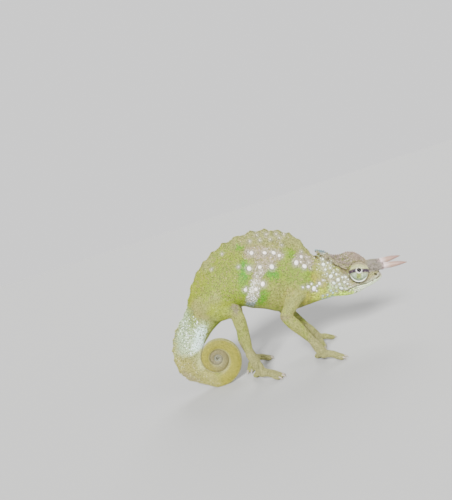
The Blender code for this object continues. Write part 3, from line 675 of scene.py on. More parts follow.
def makeBodySkin():
    obj = joinedFlesh()
    fuse(obj, skinMesh["voxel"])
    finishedMesh(obj)
    refineHead(obj)
    mesh = obj.data
    edges = meshEdges(mesh)
    points = smoothed(readPoints(mesh), edges, 1.0, skinMesh["smooth"])
    points = smoothed(points, edges, jointSmoothing(bodyPlane(points)), skinMesh["jointRounds"])
    writePoints(mesh, points)
    points = points - readNormals(mesh) * pose["coatDepth"] * mm
    points = sinkSockets(points)
    points = smoothed(points, edges, 1.0, 1)
    writePoints(mesh, points)
    normals = readNormals(mesh)
    plane, crown = bodyPlane(points), headPlane(points)
    onHead = smoothStep(36.5, 38.5, plane[:, 0])
    onSide = smoothStep(0.8, 2.2, np.abs(plane[:, 1]))
    offLimbs = smoothStep(0.2, 1.0, nearestLimb(plane))
    inEye = np.minimum(*[np.linalg.norm((points - eyeFrame(w)[0]) / mm, axis=1) for w in ("right", "left")])
    points = pressed(points, normals, crown[:, [0, 2]], headStrokes, onHead * smoothStep(3.6, 4.2, inEye))
    points = pressed(points, normals, plane[:, [0, 2]], bodyStrokes, onSide * offLimbs)
    points = smoothed(points, edges, 0.5, 1)
    points[:, 2] = np.maximum(points[:, 2], skinMesh["floor"] * mm)
    writePoints(mesh, points)
    print("body skin:", len(mesh.polygons), "faces")
    return obj


def addCoil(obj):
    # the trunk's skin is cut across the tail, and the coil's rings are bridged to it
    bm = bmesh.new()
    bm.from_mesh(obj.data)
    cut = body["skinEnd"]
    found, before = station(cut), station(cut - 0.1)
    middle = (found[:2] + found[2:4]) / 2
    along = middle - (before[:2] + before[2:4]) / 2
    point = Vector(placeBody((middle[0], 0, middle[1])))
    normal = Vector(placeBody((along[0], 0, along[1])) - placeBody((0, 0, 0))).normalized()
    reach = skinMesh["cutReach"] * mm
    near = [f for f in bm.faces if (f.calc_center_median() - point).length < reach]
    geom = list({v for f in near for v in f.verts}) + list({e for f in near for e in f.edges}) + near
    bmesh.ops.bisect_plane(bm, geom=geom, dist=1e-7, plane_co=point, plane_no=normal)
    beyond = [f for f in bm.faces if (f.calc_center_median() - point).length < reach * 1.3
              and (f.calc_center_median() - point).dot(normal) > 1e-7]
    bmesh.ops.delete(bm, geom=beyond, context="FACES")
    trunkEnd = [e for e in bm.edges if e.is_boundary]
    places = coilPlaces(cut + body["coilJoint"])
    rings = np.array([placeBody(bodyRing(p, coil["sides"] // 2 - 1)) for p in places])
    middles = rings.mean(axis=1, keepdims=True)
    size = np.linalg.norm(rings - middles, axis=2, keepdims=True)
    rings = middles + (rings - middles) * (1 - np.minimum(pose["coatDepth"] * mm / size, 0.2))
    ends = ringGrid(bm, rings)
    coilEnd = [e for e in ends if (e.verts[0].co - Vector(rings[0].mean(axis=0))).length < reach * 0.7]
    tip = [e for e in ends if e not in set(coilEnd)]
    bmesh.ops.holes_fill(bm, edges=tip, sides=0)
    bmesh.ops.bridge_loops(bm, edges=trunkEnd + coilEnd)
    bmesh.ops.recalc_face_normals(bm, faces=bm.faces)
    bm.to_mesh(obj.data)
    bm.free()
    mesh = obj.data
    points, edges = readPoints(mesh), meshEdges(mesh)
    far = np.linalg.norm(points - np.array(point), axis=1) / mm
    points = smoothed(points, edges, 1 - smoothStep(2.8, 4.2, far), 3)
    points[:, 2] = np.maximum(points[:, 2], skinMesh["floor"] * mm)
    writePoints(mesh, points)
    mesh.shade_smooth()
    triangles = sum(len(f.vertices) - 2 for f in mesh.polygons)
    print("skin:", len(mesh.polygons), "faces,", triangles, "triangles")


def coilPlaces(start):
    # stations of the coil's rings, an even length apart along the middle of the tail
    fine = np.linspace(start, lastStation, 4000)
    middles = np.array([(s[:2] + s[2:4]) / 2 for s in map(station, fine)])
    run = runAlong(middles)
    count = int(run[-1] / coil["rowLength"])
    return np.interp(np.linspace(0, run[-1], count + 1), run, fine)


def skinTree(obj):
    bm = bmesh.new()
    bm.from_mesh(obj.data)
    tree = BVHTree.FromBMesh(bm)
    bm.free()
    return tree


def patchPlaces(obj):
    # an unwrap of the skin's own shape: gives each root its place on that map
    bm = bmesh.new()
    bm.from_mesh(obj.data)
    proxy = newObject("unwrap", bm)
    fuse(proxy, coat["unwrapVoxel"])
    triangles = proxy.modifiers.new("triangles", "TRIANGULATE")
    triangles.min_vertices = 4
    mesh = finishedMesh(proxy)
    bpy.context.view_layer.objects.active = proxy
    proxy.select_set(True)
    bpy.ops.object.mode_set(mode="EDIT")
    bpy.ops.mesh.select_all(action="SELECT")
    bpy.ops.uv.smart_project(angle_limit=math.radians(66), island_margin=0.004)
    bpy.ops.object.mode_set(mode="OBJECT")
    corners = readValues(mesh.uv_layers.active.data, "uv", 2).reshape(-1, 3, 2)
    points = readPoints(mesh)
    index = readValues(mesh.loops, "vertex_index", 1, np.int32).reshape(-1, 3)
    tree = BVHTree.FromPolygons(points.tolist(), index.tolist())
    bpy.data.objects.remove(proxy)

    def find(roots):
        hits = [tree.find_nearest(Vector(r)) for r in roots]
        face = np.array([h[2] for h in hits])
        place = np.array([h[0] for h in hits])
        a, b, c = (points[index[face, k]] for k in range(3))
        across = np.cross(b - a, c - a)
        size = np.maximum((across ** 2).sum(1), 1e-30)
        shareB = (np.cross(place - a, c - a) * across).sum(1) / size
        shareC = (np.cross(b - a, place - a) * across).sum(1) / size
        shares = np.clip(np.stack((1 - shareB - shareC, shareB, shareC), 1), 0, 1)
        return (corners[face] * shares[:, :, None]).sum(1) / shares.sum(1)[:, None]

    return find


def scaleShape(sides, levels, crown):
    # a low closed scale: rings of (radius, height) from the root up, and its crown's height
    bm = bmesh.new()
    made = bmesh.ops.create_circle(bm, cap_ends=True, segments=sides, radius=levels[0][0])
    bmesh.ops.translate(bm, verts=made["verts"], vec=(0, 0, levels[0][1]))
    top = bm.faces[:][0]
    if top.normal.z > 0:
        top.normal_flip()
    edges = list(top.edges)
    for radius, height in levels[1:]:
        grown = bmesh.ops.extrude_edge_only(bm, edges=edges)["geom"]
        verts = [g for g in grown if isinstance(g, bmesh.types.BMVert)]
        edges = [g for g in grown if isinstance(g, bmesh.types.BMEdge)]
        for vert in verts:
            way = Vector((vert.co.x, vert.co.y, 0)).normalized()
            vert.co = way * radius + Vector((0, 0, height))
    cap = bmesh.ops.contextual_create(bm, geom=edges)["faces"]
    bmesh.ops.poke(bm, faces=cap, offset=crown - levels[-1][1])
    bmesh.ops.recalc_face_normals(bm, faces=bm.faces)
    inOrder(bm)
    points = np.array([v.co for v in bm.verts])
    faces = [[v.index for v in f.verts] for f in bm.faces]
    bm.free()
    return points, faces


def arrayedScales(name, shape, roots, frames, places, tone, mark=None):
    # one mesh of many scales: frames hold each scale's two widths and its height as ways in metres
    points, faces = shape
    count, size = len(roots), len(points)
    spread = np.einsum("kc,ncx->nkx", points, frames) + roots[:, None, :]
    order = np.concatenate([np.array(f) for f in faces])
    starts = np.cumsum([0] + [len(f) for f in faces[:-1]])
    mesh = bpy.data.meshes.new(name)
    mesh.vertices.add(count * size)
    mesh.vertices.foreach_set("co", spread.astype(np.float32).ravel())
    mesh.loops.add(count * len(order))
    mesh.polygons.add(count * len(faces))
    step = np.arange(count)[:, None]
    mesh.loops.foreach_set("vertex_index", (order + step * size).ravel())
    mesh.polygons.foreach_set("loop_start", (starts + step * len(order)).ravel())
    mesh.update(calc_edges=True)
    mesh.shade_smooth()
    writeValues(mesh, "root", np.repeat(roots if mark is None else mark, size, axis=0))
    writeValues(mesh, "tone", np.repeat(tone, size))
    writeValues(mesh, "crown", np.tile(np.clip(points[:, 2] / points[:, 2].max(), 0, 1), count))
    patch = points[order, :2] / np.abs(points[:, :2]).max() * coat["patch"] / 2
    uv = mesh.uv_layers.new(name="OFBake")
    uv.data.foreach_set("uv", (patch + places[:, None, :]).astype(np.float32).ravel())
    print(name + ":", count, "scales,", count * sum(len(f) - 2 for f in faces), "triangles")
    return linked(name, mesh)


def scaleFrames(normals, way, wide, long, high):
    # long runs along way, as far as the surface lets it
    way = way - normals * (way * normals).sum(1)[:, None]
    way = way / np.maximum(np.linalg.norm(way, axis=1), 1e-9)[:, None]
    over = np.cross(normals, way)
    return np.stack((way * long[:, None], over * wide[:, None], normals * high[:, None]), 1) * mm


# The coat's scales: how far apart their middles stand by region, in millimetres.
coat = {
    "flank": 0.43, "limb": 0.43, "foot": 0.38, "coil": 0.35, "coilTip": 0.17,
    "cheek": 0.42, "casque": 0.52, "snout": 0.38, "lip": 0.32,
    "rise": 0.25,                    # height as a share of that
    "tries": 9, "room": 0.80,        # places tried for each scale, and share of its spacing that is kept
    "rounds": 2, "push": 0.32,       # how often and how strongly they are then evened out
    "sizes": (0.90, 1.14), "cover": 1.17,   # spread of their widths, and how far they overlap
    # bare ground: round plates and rows, turrets, mouth and nostrils, horns (a share), and at the floor
    "clear": 0.14, "bareEye": 3.76, "bareMouth": 0.17, "bareNostril": 0.36, "bareHorn": 1.02,
    "bareFloor": 0.12,
    "piece": 8800,                   # most scales in one piece
    "unwrapVoxel": 1.0, "patch": 0.003,   # grid of the unwrapped shape, and each scale's share of the map
}
pebble = scaleShape(6, [(1.0, -0.35), (0.84, 0.66)], 1.0)
plateShape = scaleShape(12, [(1.04, -0.5), (1.0, 0.05), (0.86, 0.46), (0.62, 0.78), (0.32, 0.95)], 1.0)
coneShape = scaleShape(7, [(1.0, -0.5), (0.93, 0.10), (0.66, 0.62), (0.32, 0.92)], 1.0)


def isHead(crown):
    return (crown[:, 0] > 43.5) | ((crown[:, 0] > 38) & (crown[:, 2] > 41.5))


def spacingAt(points):
    # how far apart the scales stand, by region
    plane, crown = bodyPlane(points), headPlane(points)
    u, y, v = axes(plane)
    spacing = np.full(len(points), coat["flank"])
    turn = np.hypot(u, v)
    onCoil = (turn < 12.3) & (points[:, 2] / mm < 26) & (np.abs(y) < 3.2)
    share = np.clip(turn / coil["radius"], 0, 1)
    spacing = np.where(onCoil, blend(coat["coilTip"], coat["coil"], share), spacing)
    limb = nearestLimb(plane) < 0.5
    spacing = np.where(limb, coat["limb"], spacing)
    spacing = np.where(limb & (points[:, 2] / mm < 6.5), coat["foot"], spacing)
    hu, _, hv = axes(crown)
    onHead = isHead(crown)
    crest = np.interp(hu, *zip(*head["crest"]))
    spacing = np.where(onHead, coat["cheek"], spacing)
    spacing = np.where(onHead & (hv > crest), coat["casque"], spacing)
    spacing = np.where(onHead & (hu > 58), coat["snout"], spacing)
    mouth = distanceToPath(crown[:, [0, 2]], head["mouth"])
    spacing = np.where(onHead & (mouth < 1.3) & (hu > 49.5), coat["lip"], spacing)
    return spacing


def scatterRoots(mesh, tree, blocked):
    # roots spread over the skin, no two nearer than their spacing, then evened out
    mesh.calc_loop_triangles()
    index = readValues(mesh.loop_triangles, "vertices", 3, np.int32)
    points = readPoints(mesh)
    a, b, c = (points[index[:, k]] for k in range(3))
    area = np.linalg.norm(np.cross(b - a, c - a), axis=1) / 2 / mm ** 2
    spacing = spacingAt((a + b + c) / 3)
    weight = area / spacing ** 2
    draw = np.random.default_rng(seed)
    count = int(weight.sum() * coat["tries"])
    face = draw.choice(len(index), count, p=weight / weight.sum())
    r = np.sqrt(draw.random(count))[:, None]
    s = draw.random(count)[:, None]
    spots = a[face] * (1 - r) + b[face] * r * (1 - s) + c[face] * r * s
    free = ~blocked(spots)
    spots, face = spots[free], face[free]
    room = spacing[face] * coat["room"] * mm
    cell = coat["casque"] * mm
    keys = np.floor(spots / cell).astype(int)
    grid, kept = {}, []
    around = [(i, j, k) for i in (-1, 0, 1) for j in (-1, 0, 1) for k in (-1, 0, 1)]
    rows, names, reach = spots.tolist(), keys.tolist(), room.tolist()
    for n, (x, y, z) in enumerate(rows):
        i, j, k = names[n]
        limit = reach[n] ** 2
        if any((x - p[0]) ** 2 + (y - p[1]) ** 2 + (z - p[2]) ** 2 < limit
               for di, dj, dk in around for p in grid.get((i + di, j + dj, k + dk), ())):
            continue
        grid.setdefault((i, j, k), []).append(rows[n])
        kept.append(n)
    spots = spots[kept]
    for _ in range(coat["rounds"]):
        spots = evened(spots, spacingAt(spots))
        spots = np.array([tree.find_nearest(Vector(p))[0] for p in spots])
    return spots[~blocked(spots, 0.08)]


def evened(spots, spacing):
    # each root moves away from neighbours that crowd it
    tree = kdTree(spots)
    near = np.array([[n[1] for n in tree.find_n(p, 7)][1:] for p in spots.tolist()])
    apart = spots[:, None, :] - spots[near]
    far = np.linalg.norm(apart, axis=2)
    push = np.maximum(0, spacing[:, None] * mm * 1.02 - far) * coat["push"]
    return spots + (apart / np.maximum(far, 1e-9)[..., None] * push[..., None]).sum(1)


def surfaceNormals(mesh, tree, spots):
    # the skin's smooth normals at the roots
    normals, points = readNormals(mesh), readPoints(mesh)
    found = np.zeros_like(spots)
    for i, spot in enumerate(spots.tolist()):
        face = tree.find_nearest(Vector(spot))[2]
        corners = mesh.polygons[face].vertices
        share = [1 / (1e-6 + math.dist(spot, points[c])) for c in corners]
        found[i] = sum(normals[c] * s for c, s in zip(corners, share))
    return unit(found)


# Large pale plates of the right side: (u, v, radius); the left side has them moved a little.
plates = {
    "flank": [(13.4, 43.4, 0.88), (18.5, 43.5, 0.92), (22.0, 43.5, 0.92), (24.2, 42.5, 0.69),
              (12.4, 37.6, 1.07), (16.5, 38.2, 0.84), (21.1, 38.3, 1.03), (17.5, 31.9, 0.95),
              (14.9, 29.9, 0.84), (10.9, 29.6, 0.76), (30.8, 39.7, 1.08), (32.9, 41.9, 0.77),
              (34.0, 38.3, 0.97), (32.6, 40.0, 0.42)],
    "small": [(15.6, 50.3, 0.39), (19.4, 50.6, 0.43), (23.3, 50.7, 0.43), (21.0, 48.6, 0.39),
              (16.8, 48.2, 0.39), (24.6, 49.2, 0.39), (12.8, 47.9, 0.39), (25.4, 46.4, 0.43),
              (26.4, 50.7, 0.39), (12.1, 43.8, 0.47), (16.9, 36.1, 0.51), (11.2, 30.5, 0.39),
              (15.2, 35.0, 0.40), (14.2, 33.0, 0.38), (13.2, 27.6, 0.42), (15.9, 27.4, 0.36),
              (12.0, 25.8, 0.36), (1.8, 42.8, 0.36), (-2.2, 36.9, 0.38), (8.3, 38.2, 0.5),
              (35.2, 41.6, 0.40), (35.8, 39.6, 0.42), (33.2, 43.8, 0.38), (36.4, 37.4, 0.38)],
    "throat": [(33.2, 30.4, 0.39), (35.3, 30.6, 0.7), (37.6, 29.8, 1.01), (39.8, 31.7, 0.7),
               (36.6, 31.6, 0.4), (38.9, 30.8, 0.42), (41.3, 32.9, 0.4), (38.7, 28.9, 0.38)],
    "cheek": [(41.5, 41.5, 0.47), (41.6, 39.7, 0.78), (42.3, 37.9, 0.5), (44.3, 35.6, 0.85),
              (46.3, 36.6, 0.47), (47.0, 34.5, 0.74), (48.6, 35.5, 0.54), (49.9, 35.6, 0.47),
              (45.6, 33.0, 0.89), (47.7, 32.7, 0.62), (49.5, 33.6, 0.62), (50.8, 32.9, 0.47),
              (48.7, 30.9, 0.97), (50.4, 30.7, 0.35), (42.9, 36.4, 0.36), (45.2, 37.2, 0.38),
              (46.6, 31.2, 0.36), (50.9, 34.6, 0.36), (43.2, 40.4, 0.36), (44.1, 38.7, 0.40)],
    "chinEdge": [(45.5, 27.8, 0.5), (43.4, 27.0, 0.5), (44.6, 28.7, 0.42), (46.9, 28.4, 0.4),
                 (41.6, 26.6, 0.4)],
    "tints": {"flank": (0.96, 0.91, 0.85), "small": (0.60, 0.56, 0.45), "throat": (0.90, 0.90, 0.94),
              "cheek": (0.80, 0.90, 0.80), "chinEdge": (0.46, 0.70, 0.72)},
    "edge": (0.30, 0.29, 0.17), "halo": (0.66, 0.62, 0.54),   # their rims, and the skin round them
    "shift": 0.7, "rise": 0.62,      # how far the left side's are moved; height as a share of the radius
}


def plateRoots(tree):
    # (root, normal, radius, group) of every plate on both sides
    draw = np.random.default_rng(seed + 1)
    found = []
    for group in plates["tints"]:
        place = placeHead if group == "cheek" else placeBody
        for side in (-1, 1):
            for u, v, radius in plates[group]:
                if side > 0:
                    u += draw.uniform(-1, 1) * plates["shift"]
                    v += draw.uniform(-1, 1) * plates["shift"]
                    radius *= draw.uniform(0.8, 1.15)
                start, end = Vector(place((u, side * 30, v))), Vector(place((u, 0, v)))
                root, normal, _, _ = tree.ray_cast(start, (end - start).normalized())
                if root is not None:
                    found.append((*root, *normal, radius, list(plates["tints"]).index(group)))
    return np.array(found, float)


# Rows of larger scales: stations from and to which they run (or how far from the mouth), how far apart,
# how wide and how high they are.
rows = {
    "crest": {"span": (0.0, 4.6), "gap": 0.70, "radius": 0.37, "high": 0.46},
    "canthus": {"span": (4.9, 8.4), "gap": 0.66, "radius": 0.30, "high": 0.30},
    "middle": {"span": (0.0, 7.4), "gap": 0.84, "radius": 0.44, "high": 0.58},
    "sail": {"span": (1.2, 20.4), "gap": 0.58, "radius": 0.32, "high": 0.44},
    "chin": {"span": (2.6, 9.2), "gap": 0.60, "radius": 0.26, "high": 0.22},
    "gular": {"span": (0.3, 3.4), "gap": 0.72, "radius": 0.34, "high": 0.46},
    "upperLip": {"shift": 0.46, "gap": 0.56, "radius": 0.29, "high": 0.16},
    "lowerLip": {"shift": -0.50, "gap": 0.60, "radius": 0.30, "high": 0.16},
    "collar": {"u": 65.0, "ring": 1.36, "gap": 0.50, "radius": 0.25, "high": 0.26},
}


def evenlyAlong(points, gap):
    # places a gap apart along a line of points in metres
    run = runAlong(points) / mm
    count = max(2, int(run[-1] / gap))
    marks = (np.arange(count) + 0.5) / count * run[-1]
    return np.stack([np.interp(marks, run, points[:, axis]) for axis in range(3)], 1)


def headLine(kind, side, index):
    found = curveValue(head["stations"], index)
    top, chin, share, crest, jaw = found[:2], found[2:4], found[4], found[5], found[7]
    down, y = {"crest": (share, crest), "canthus": (share, crest), "middle": (0.0, 0.0),
               "chin": (0.955, jaw * 0.62), "gular": (1.0, 0.0)}[kind]
    u, v = top + (chin - top) * down
    return placeHead((u, side * y, v))


def sailLine(span):
    # the sail's edge, in metres
    line = []
    for place in np.linspace(*span, 500):
        _, rise, _ = sailProfile(place)
        top, up, _ = backRidge(place)
        u, v = top + up * (rise[0] - pose["coatDepth"])
        line.append(placeBody((u, 0, v)))
    return np.array(line)


def lipLine(side, shift):
    # along the mouth, a little above or below it, from the corner to the snout
    mouth = curvedPath(head["mouth"])[6:-2]
    ways = np.gradient(mouth, axis=0)
    across = np.stack((-ways[:, 1], ways[:, 0]), 1) / np.linalg.norm(ways, axis=1)[:, None]
    flat = mouth - across * shift
    half = np.interp(flat[:, 0], *zip(*head["lipWidths"]))
    return placeHead(np.stack((flat[:, 0], side * half, flat[:, 1]), 1))


def rowLines(kind, row):
    # the lines in metres along which one kind of row stands
    if kind == "sail":
        return [sailLine(row["span"])]
    if "shift" in row:
        return [lipLine(side, row["shift"]) for side in (-1, 1)]
    if kind == "collar":
        found = []
        turn = np.linspace(0, 2 * np.pi, 80)
        for left in (False, True):
            _, y, v, _ = mirrored(horn["path"], left)[0]
            found.append(placeHead(np.stack((np.full(80, row["u"]), y + row["ring"] * np.cos(turn),
                                             v + row["ring"] * np.sin(turn)), 1)))
        return found
    sides = (0,) if kind in ("middle", "gular") else (-1, 1)
    steps = np.linspace(*row["span"], 300)
    return [np.array([headLine(kind, side, step) for step in steps]) for side in sides]


def rowRoots(tree):
    # (root, normal, radius, height) of the larger scales in rows on crests, sail, lips, chin and horns
    found = []
    for kind, row in rows.items():
        for line in rowLines(kind, row):
            for spot in evenlyAlong(line, row["gap"]):
                root, normal, _, far = tree.find_nearest(Vector(spot))
                if far < 1.6 * mm:
                    found.append((*root, *normal, row["radius"], row["high"]))
    return np.array(found, float)


def makeCoat(obj):
    # the scales, in pieces by region, with the plates and rows that keep them off their own ground
    tree = skinTree(obj)
    places = patchPlaces(obj)
    draw = np.random.default_rng(seed + 2)
    plate, row = plateRoots(tree), rowRoots(tree)
    taken = kdTree(np.concatenate((plate[:, :3], row[:, :3])))
    radii = np.concatenate((plate[:, 6], row[:, 6] * 0.8))

    def blocked(spots, slack=0.0):
        found = np.zeros(len(spots), bool)
        for i, spot in enumerate(spots.tolist()):
            _, which, far = taken.find(spot)
            found[i] = far < (radii[which] + coat["clear"] - slack) * mm
        for word in ("right", "left"):
            _, radius, out = eyeSight(spots, word)
            found |= (radius < coat["bareEye"]) & (out > -0.8)
        crown = headPlane(spots)
        mouth = distanceToPath(crown[:, [0, 2]], head["mouth"])
        found |= (mouth < coat["bareMouth"]) & (crown[:, 0] > 50)
        found |= distanceToPath(crown[:, [0, 2]], head["nostrilSlit"]) < coat["bareNostril"]
        for left in (False, True):
            u, y, v, r = mirrored(horn["path"], left)[1]
            found |= np.linalg.norm(crown - (u + 0.3, y, v), axis=1) < r * coat["bareHorn"]
        found |= spots[:, 2] < coat["bareFloor"] * mm
        return found

    spots = scatterRoots(obj.data, tree, blocked)
    normals = surfaceNormals(obj.data, tree, spots)
    spacing = spacingAt(spots)
    size = draw.uniform(*coat["sizes"], len(spots)) * spacing / 2 * coat["cover"]
    plane, crown = bodyPlane(spots), headPlane(spots)
    limb = nearestLimb(plane) < 0.6
    onHead = isHead(crown)
    cheek = distanceToPath(crown[:, [0, 2]], head["cheek"]) < 4
    size *= np.where(draw.random(len(spots)) < 0.05 + 0.10 * cheek, 1.22, 1.0)
    size *= np.where(limb, 1.10, 1.0)
    way = np.broadcast_to((0.0, 0.0, 1.0), spots.shape) + draw.normal(0, 0.35, spots.shape)
    high = size * 2 * coat["rise"] * draw.uniform(0.8, 1.2, len(size))
    frames = scaleFrames(normals, way, size * 0.96, size * 1.06, high)
    tone = np.clip(draw.normal(0.5, 0.17, len(spots)), 0, 1)
    onTail = (plane[:, 2] < 19) & ~limb & ~onHead & (plane[:, 0] < 0)
    coilPart = (np.hypot(plane[:, 0], plane[:, 2]) < 12.2) & ~limb & (np.abs(plane[:, 1]) < 3.3)
    region = np.select([onHead, limb, coilPart, onTail], ["head", "legs", "coil", "tail"], "trunk")
    pieces = []
    for kind in ("head", "legs", "coil", "tail", "trunk"):
        for word, side in (("right", plane[:, 1] < 0), ("left", plane[:, 1] >= 0)):
            chosen = np.flatnonzero((region == kind) & side)
            for part in range(0, len(chosen), coat["piece"]):
                pick = chosen[part:part + coat["piece"]]
                name = f"scales_{kind}_{word}"
                if len(chosen) > coat["piece"]:
                    name += f"_{part // coat['piece'] + 1}"
                pieces.append(arrayedScales(name, pebble, spots[pick], frames[pick],
                                            places(spots[pick]), tone[pick]))
    ups = np.broadcast_to((0.0, 0.0, 1.0), (len(plate), 3)) + draw.normal(0, 0.5, (len(plate), 3))
    shape = scaleFrames(plate[:, 3:6], ups, plate[:, 6] * draw.uniform(0.86, 1.0, len(plate)),
                        plate[:, 6] * draw.uniform(0.96, 1.12, len(plate)),
                        plate[:, 6] * plates["rise"])
    platesPiece = arrayedScales("plates", plateShape, plate[:, :3], shape, places(plate[:, :3]),
                                draw.uniform(0.45, 0.7, len(plate)))
    ups = np.broadcast_to((1.0, 0.0, 0.0), (len(row), 3)) + draw.normal(0, 0.2, (len(row), 3))
    grow = draw.uniform(0.8, 1.15, len(row))
    shape = scaleFrames(row[:, 3:6], ups, row[:, 6] * grow, row[:, 6] * grow * 1.1, row[:, 7] * grow)
    rowPiece = arrayedScales("crest_scales", coneShape, row[:, :3], shape, places(row[:, :3]),
                             draw.uniform(0.3, 0.9, len(row)))
    return pieces, platesPiece, rowPiece, plate


def turnedPiece(name, word, profile, sides):
    # a profile of (distance out, radius) spun about the line along which the eye looks
    bm = bmesh.new()
    verts = [bm.verts.new((radius * mm, 0, far * mm)) for far, radius in profile]
    edges = [bm.edges.new(pair) for pair in zip(verts, verts[1:])]
    bmesh.ops.spin(bm, geom=verts + edges, cent=(0, 0, 0), axis=(0, 0, 1), dvec=(0, 0, 0),
                   angle=2 * math.pi, steps=sides, use_merge=True)
    bmesh.ops.remove_doubles(bm, verts=bm.verts, dist=1e-7)
    bmesh.ops.holes_fill(bm, edges=[e for e in bm.edges if e.is_boundary], sides=0)
    inOrder(bm)
    local = np.array([v.co for v in bm.verts])
    centre, along, up, out = eyeFrame(word)
    ways = np.stack((along, up, out))
    for vert, place in zip(bm.verts, local @ ways + centre):
        vert.co = place
    obj = newObject(name, bm, closed=True)
    writeValues(obj.data, "mark", local / mm)
    return obj


def eyeballProfile():
    ball = eye["ball"]
    dome = [(ball["to"] + ball["dome"] * math.sin(a), ball["radius"] * math.cos(a))
            for a in np.radians(np.linspace(0, 90, 14))]
    return [(ball["from"], 0.0), (ball["from"], ball["radius"])] + dome


def turretGranules(word):
    # rings of small scales from the opening down to the socket
    centre, along, up, out = eyeFrame(word)
    draw = np.random.default_rng(seed + 3)
    fine = curveValue(eye["turret"], np.linspace(1.2, len(eye["turret"]) - 3.6, 400))
    run = runAlong(fine)

    def profileAt(mark):
        return np.array([np.interp(mark, run, fine[:, k]) for k in (0, 1)])

    spots, normals, tangents, sizes = [], [], [], []
    mark = run[-1]
    ring = 0
    while mark > 0.2:
        far, radius = profileAt(mark)
        ahead = unit(profileAt(mark + 0.05) - profileAt(mark - 0.05))
        gap = blend(eye["granule"] * 0.8, eye["granule"] * 1.2, min(1.0, radius / 3.8))
        count = max(8, round(2 * math.pi * radius / gap))
        for k in range(count):
            angle = 2 * math.pi * (k + 0.5 * (ring % 2) + draw.uniform(-0.2, 0.2)) / count
            spoke = np.array((math.cos(angle), math.sin(angle)))
            slip = draw.normal(0, 0.05)
            spots.append((*(spoke * (radius + ahead[1] * slip)), far + ahead[0] * slip))
            normals.append((*(spoke * ahead[0]), -ahead[1]))
            tangents.append((-spoke[1], spoke[0], 0.0))
            sizes.append(gap / 2 * draw.uniform(0.90, 1.12) * (1.25 if draw.random() < 0.06 else 1.0))
        mark -= gap * 0.9
        ring += 1
    spots, normals, tangents, sizes = map(np.array, (spots, normals, tangents, sizes))
    ways = np.stack((along, up, out))
    places = 0.5 + spots[:, :2] / 4.2 * 0.46
    frames = scaleFrames(normals @ ways, tangents @ ways, sizes, sizes * 1.02, sizes * 0.62)
    return arrayedScales("turret_scales_" + word, pebble, spots @ ways * mm + centre, frames, places,
                         np.clip(draw.normal(0.5, 0.16, len(spots)), 0, 1), mark=spots)


def makeLidRim(word):
    # the pale rim that hugs the lower half of a turret
    rim = eye["rim"]
    centre, along, up, out = eyeFrame(word)
    ways = np.stack((along, up, out)) * mm
    turn = np.radians(np.linspace(*rim["turns"], rim["steps"]))
    taper = np.maximum(0.12, np.sin(np.linspace(0, np.pi, rim["steps"])) ** 0.5)
    flat = np.stack((np.cos(turn) * rim["axes"][0], np.sin(turn) * rim["axes"][1]), 1)
    far = np.interp(np.linalg.norm(flat, axis=1), *zip(*rim["out"]))
    path = np.column_stack((flat, far, taper * rim["thick"]))
    bm = bmesh.new()
    wrapGrid(bm, limbRings(path, 12, 2, place=lambda p: np.asarray(p) @ ways + centre))
    return newObject("lid_rim_" + word, bm, closed=True)


def makeHorn(word):
    # a tapered horn with close rings that fade towards its tip
    path = np.array(mirrored(horn["path"], word == "left"))
    share = np.linspace(0, 1, horn["rows"])
    marks = curveValue(path, share * (len(path) - 1))
    ripple = np.abs(np.sin(np.pi * share ** 0.92 * horn["rings"])) ** 0.6 - 0.6
    radii = marks[:, 3] + ripple * horn["ringDepth"] * np.clip(marks[:, 3] / 0.9, 0.1, 1)
    spine = placeHead(marks[:, :3])
    turn = np.linspace(0, 2 * np.pi, horn["sides"], endpoint=False)[:, None]
    across = unit(placeHead((0, 1, 0)) - placeHead((0, 0, 0)))
    rings = []
    for i, (hub, radius) in enumerate(zip(spine, radii)):
        along = unit(spine[min(i + 1, len(spine) - 1)] - spine[max(i - 1, 0)])
        side = unit(across - along * across.dot(along))
        up = np.cross(along, side)
        wave = 1 + 0.012 * np.sin(3 * turn + i * 0.11) + 0.008 * np.sin(7 * turn)
        rings.append(hub + (side * np.cos(turn) + up * np.sin(turn)) * radius * mm * wave)
    bm = bmesh.new()
    wrapGrid(bm, np.array(rings))
    obj = newObject("horn_keratin_" + word, bm, closed=True)
    axis = spine[-1] - spine[0]
    place = ((readPoints(obj.data) - spine[0]) @ axis) / (axis @ axis)
    writeValues(obj.data, "run", place)
    # ring is low in the grooves between the rings, where the horn's colour gets painted shade
    writeValues(obj.data, "ring", np.interp(place, share, ripple + 0.6))
    return obj


def makeClaws(word):
    # one side's claws: curved, flattened a little and sharp
    bm = bmesh.new()
    for index, (kind, left, ankle) in enumerate(footPieces()):
        if left != (word == "left"):
            continue
        _, sole, toes, _ = toePaths(ankle, foot[kind], left, index)
        for way, reach in toes:
            radius, tip = foot["clawRadius"], reach + foot["claw"]
            marks = [(reach - 0.3, 1.15, radius * 0.9), (reach + 0.5, 1.18, radius),
                     (reach + 1.1, 0.92, radius * 0.78), (tip + 0.05, 0.48, radius * 0.4),
                     (tip + 0.25, 0.16, 0.05)]
            path = [(*(sole + way * far)[:2], height, r) for far, height, r in marks]
            wrapGrid(bm, limbRings(path, 12, 4, place=placeWorld, ends=()))
    return newObject("claws_" + word, bm, closed=True)


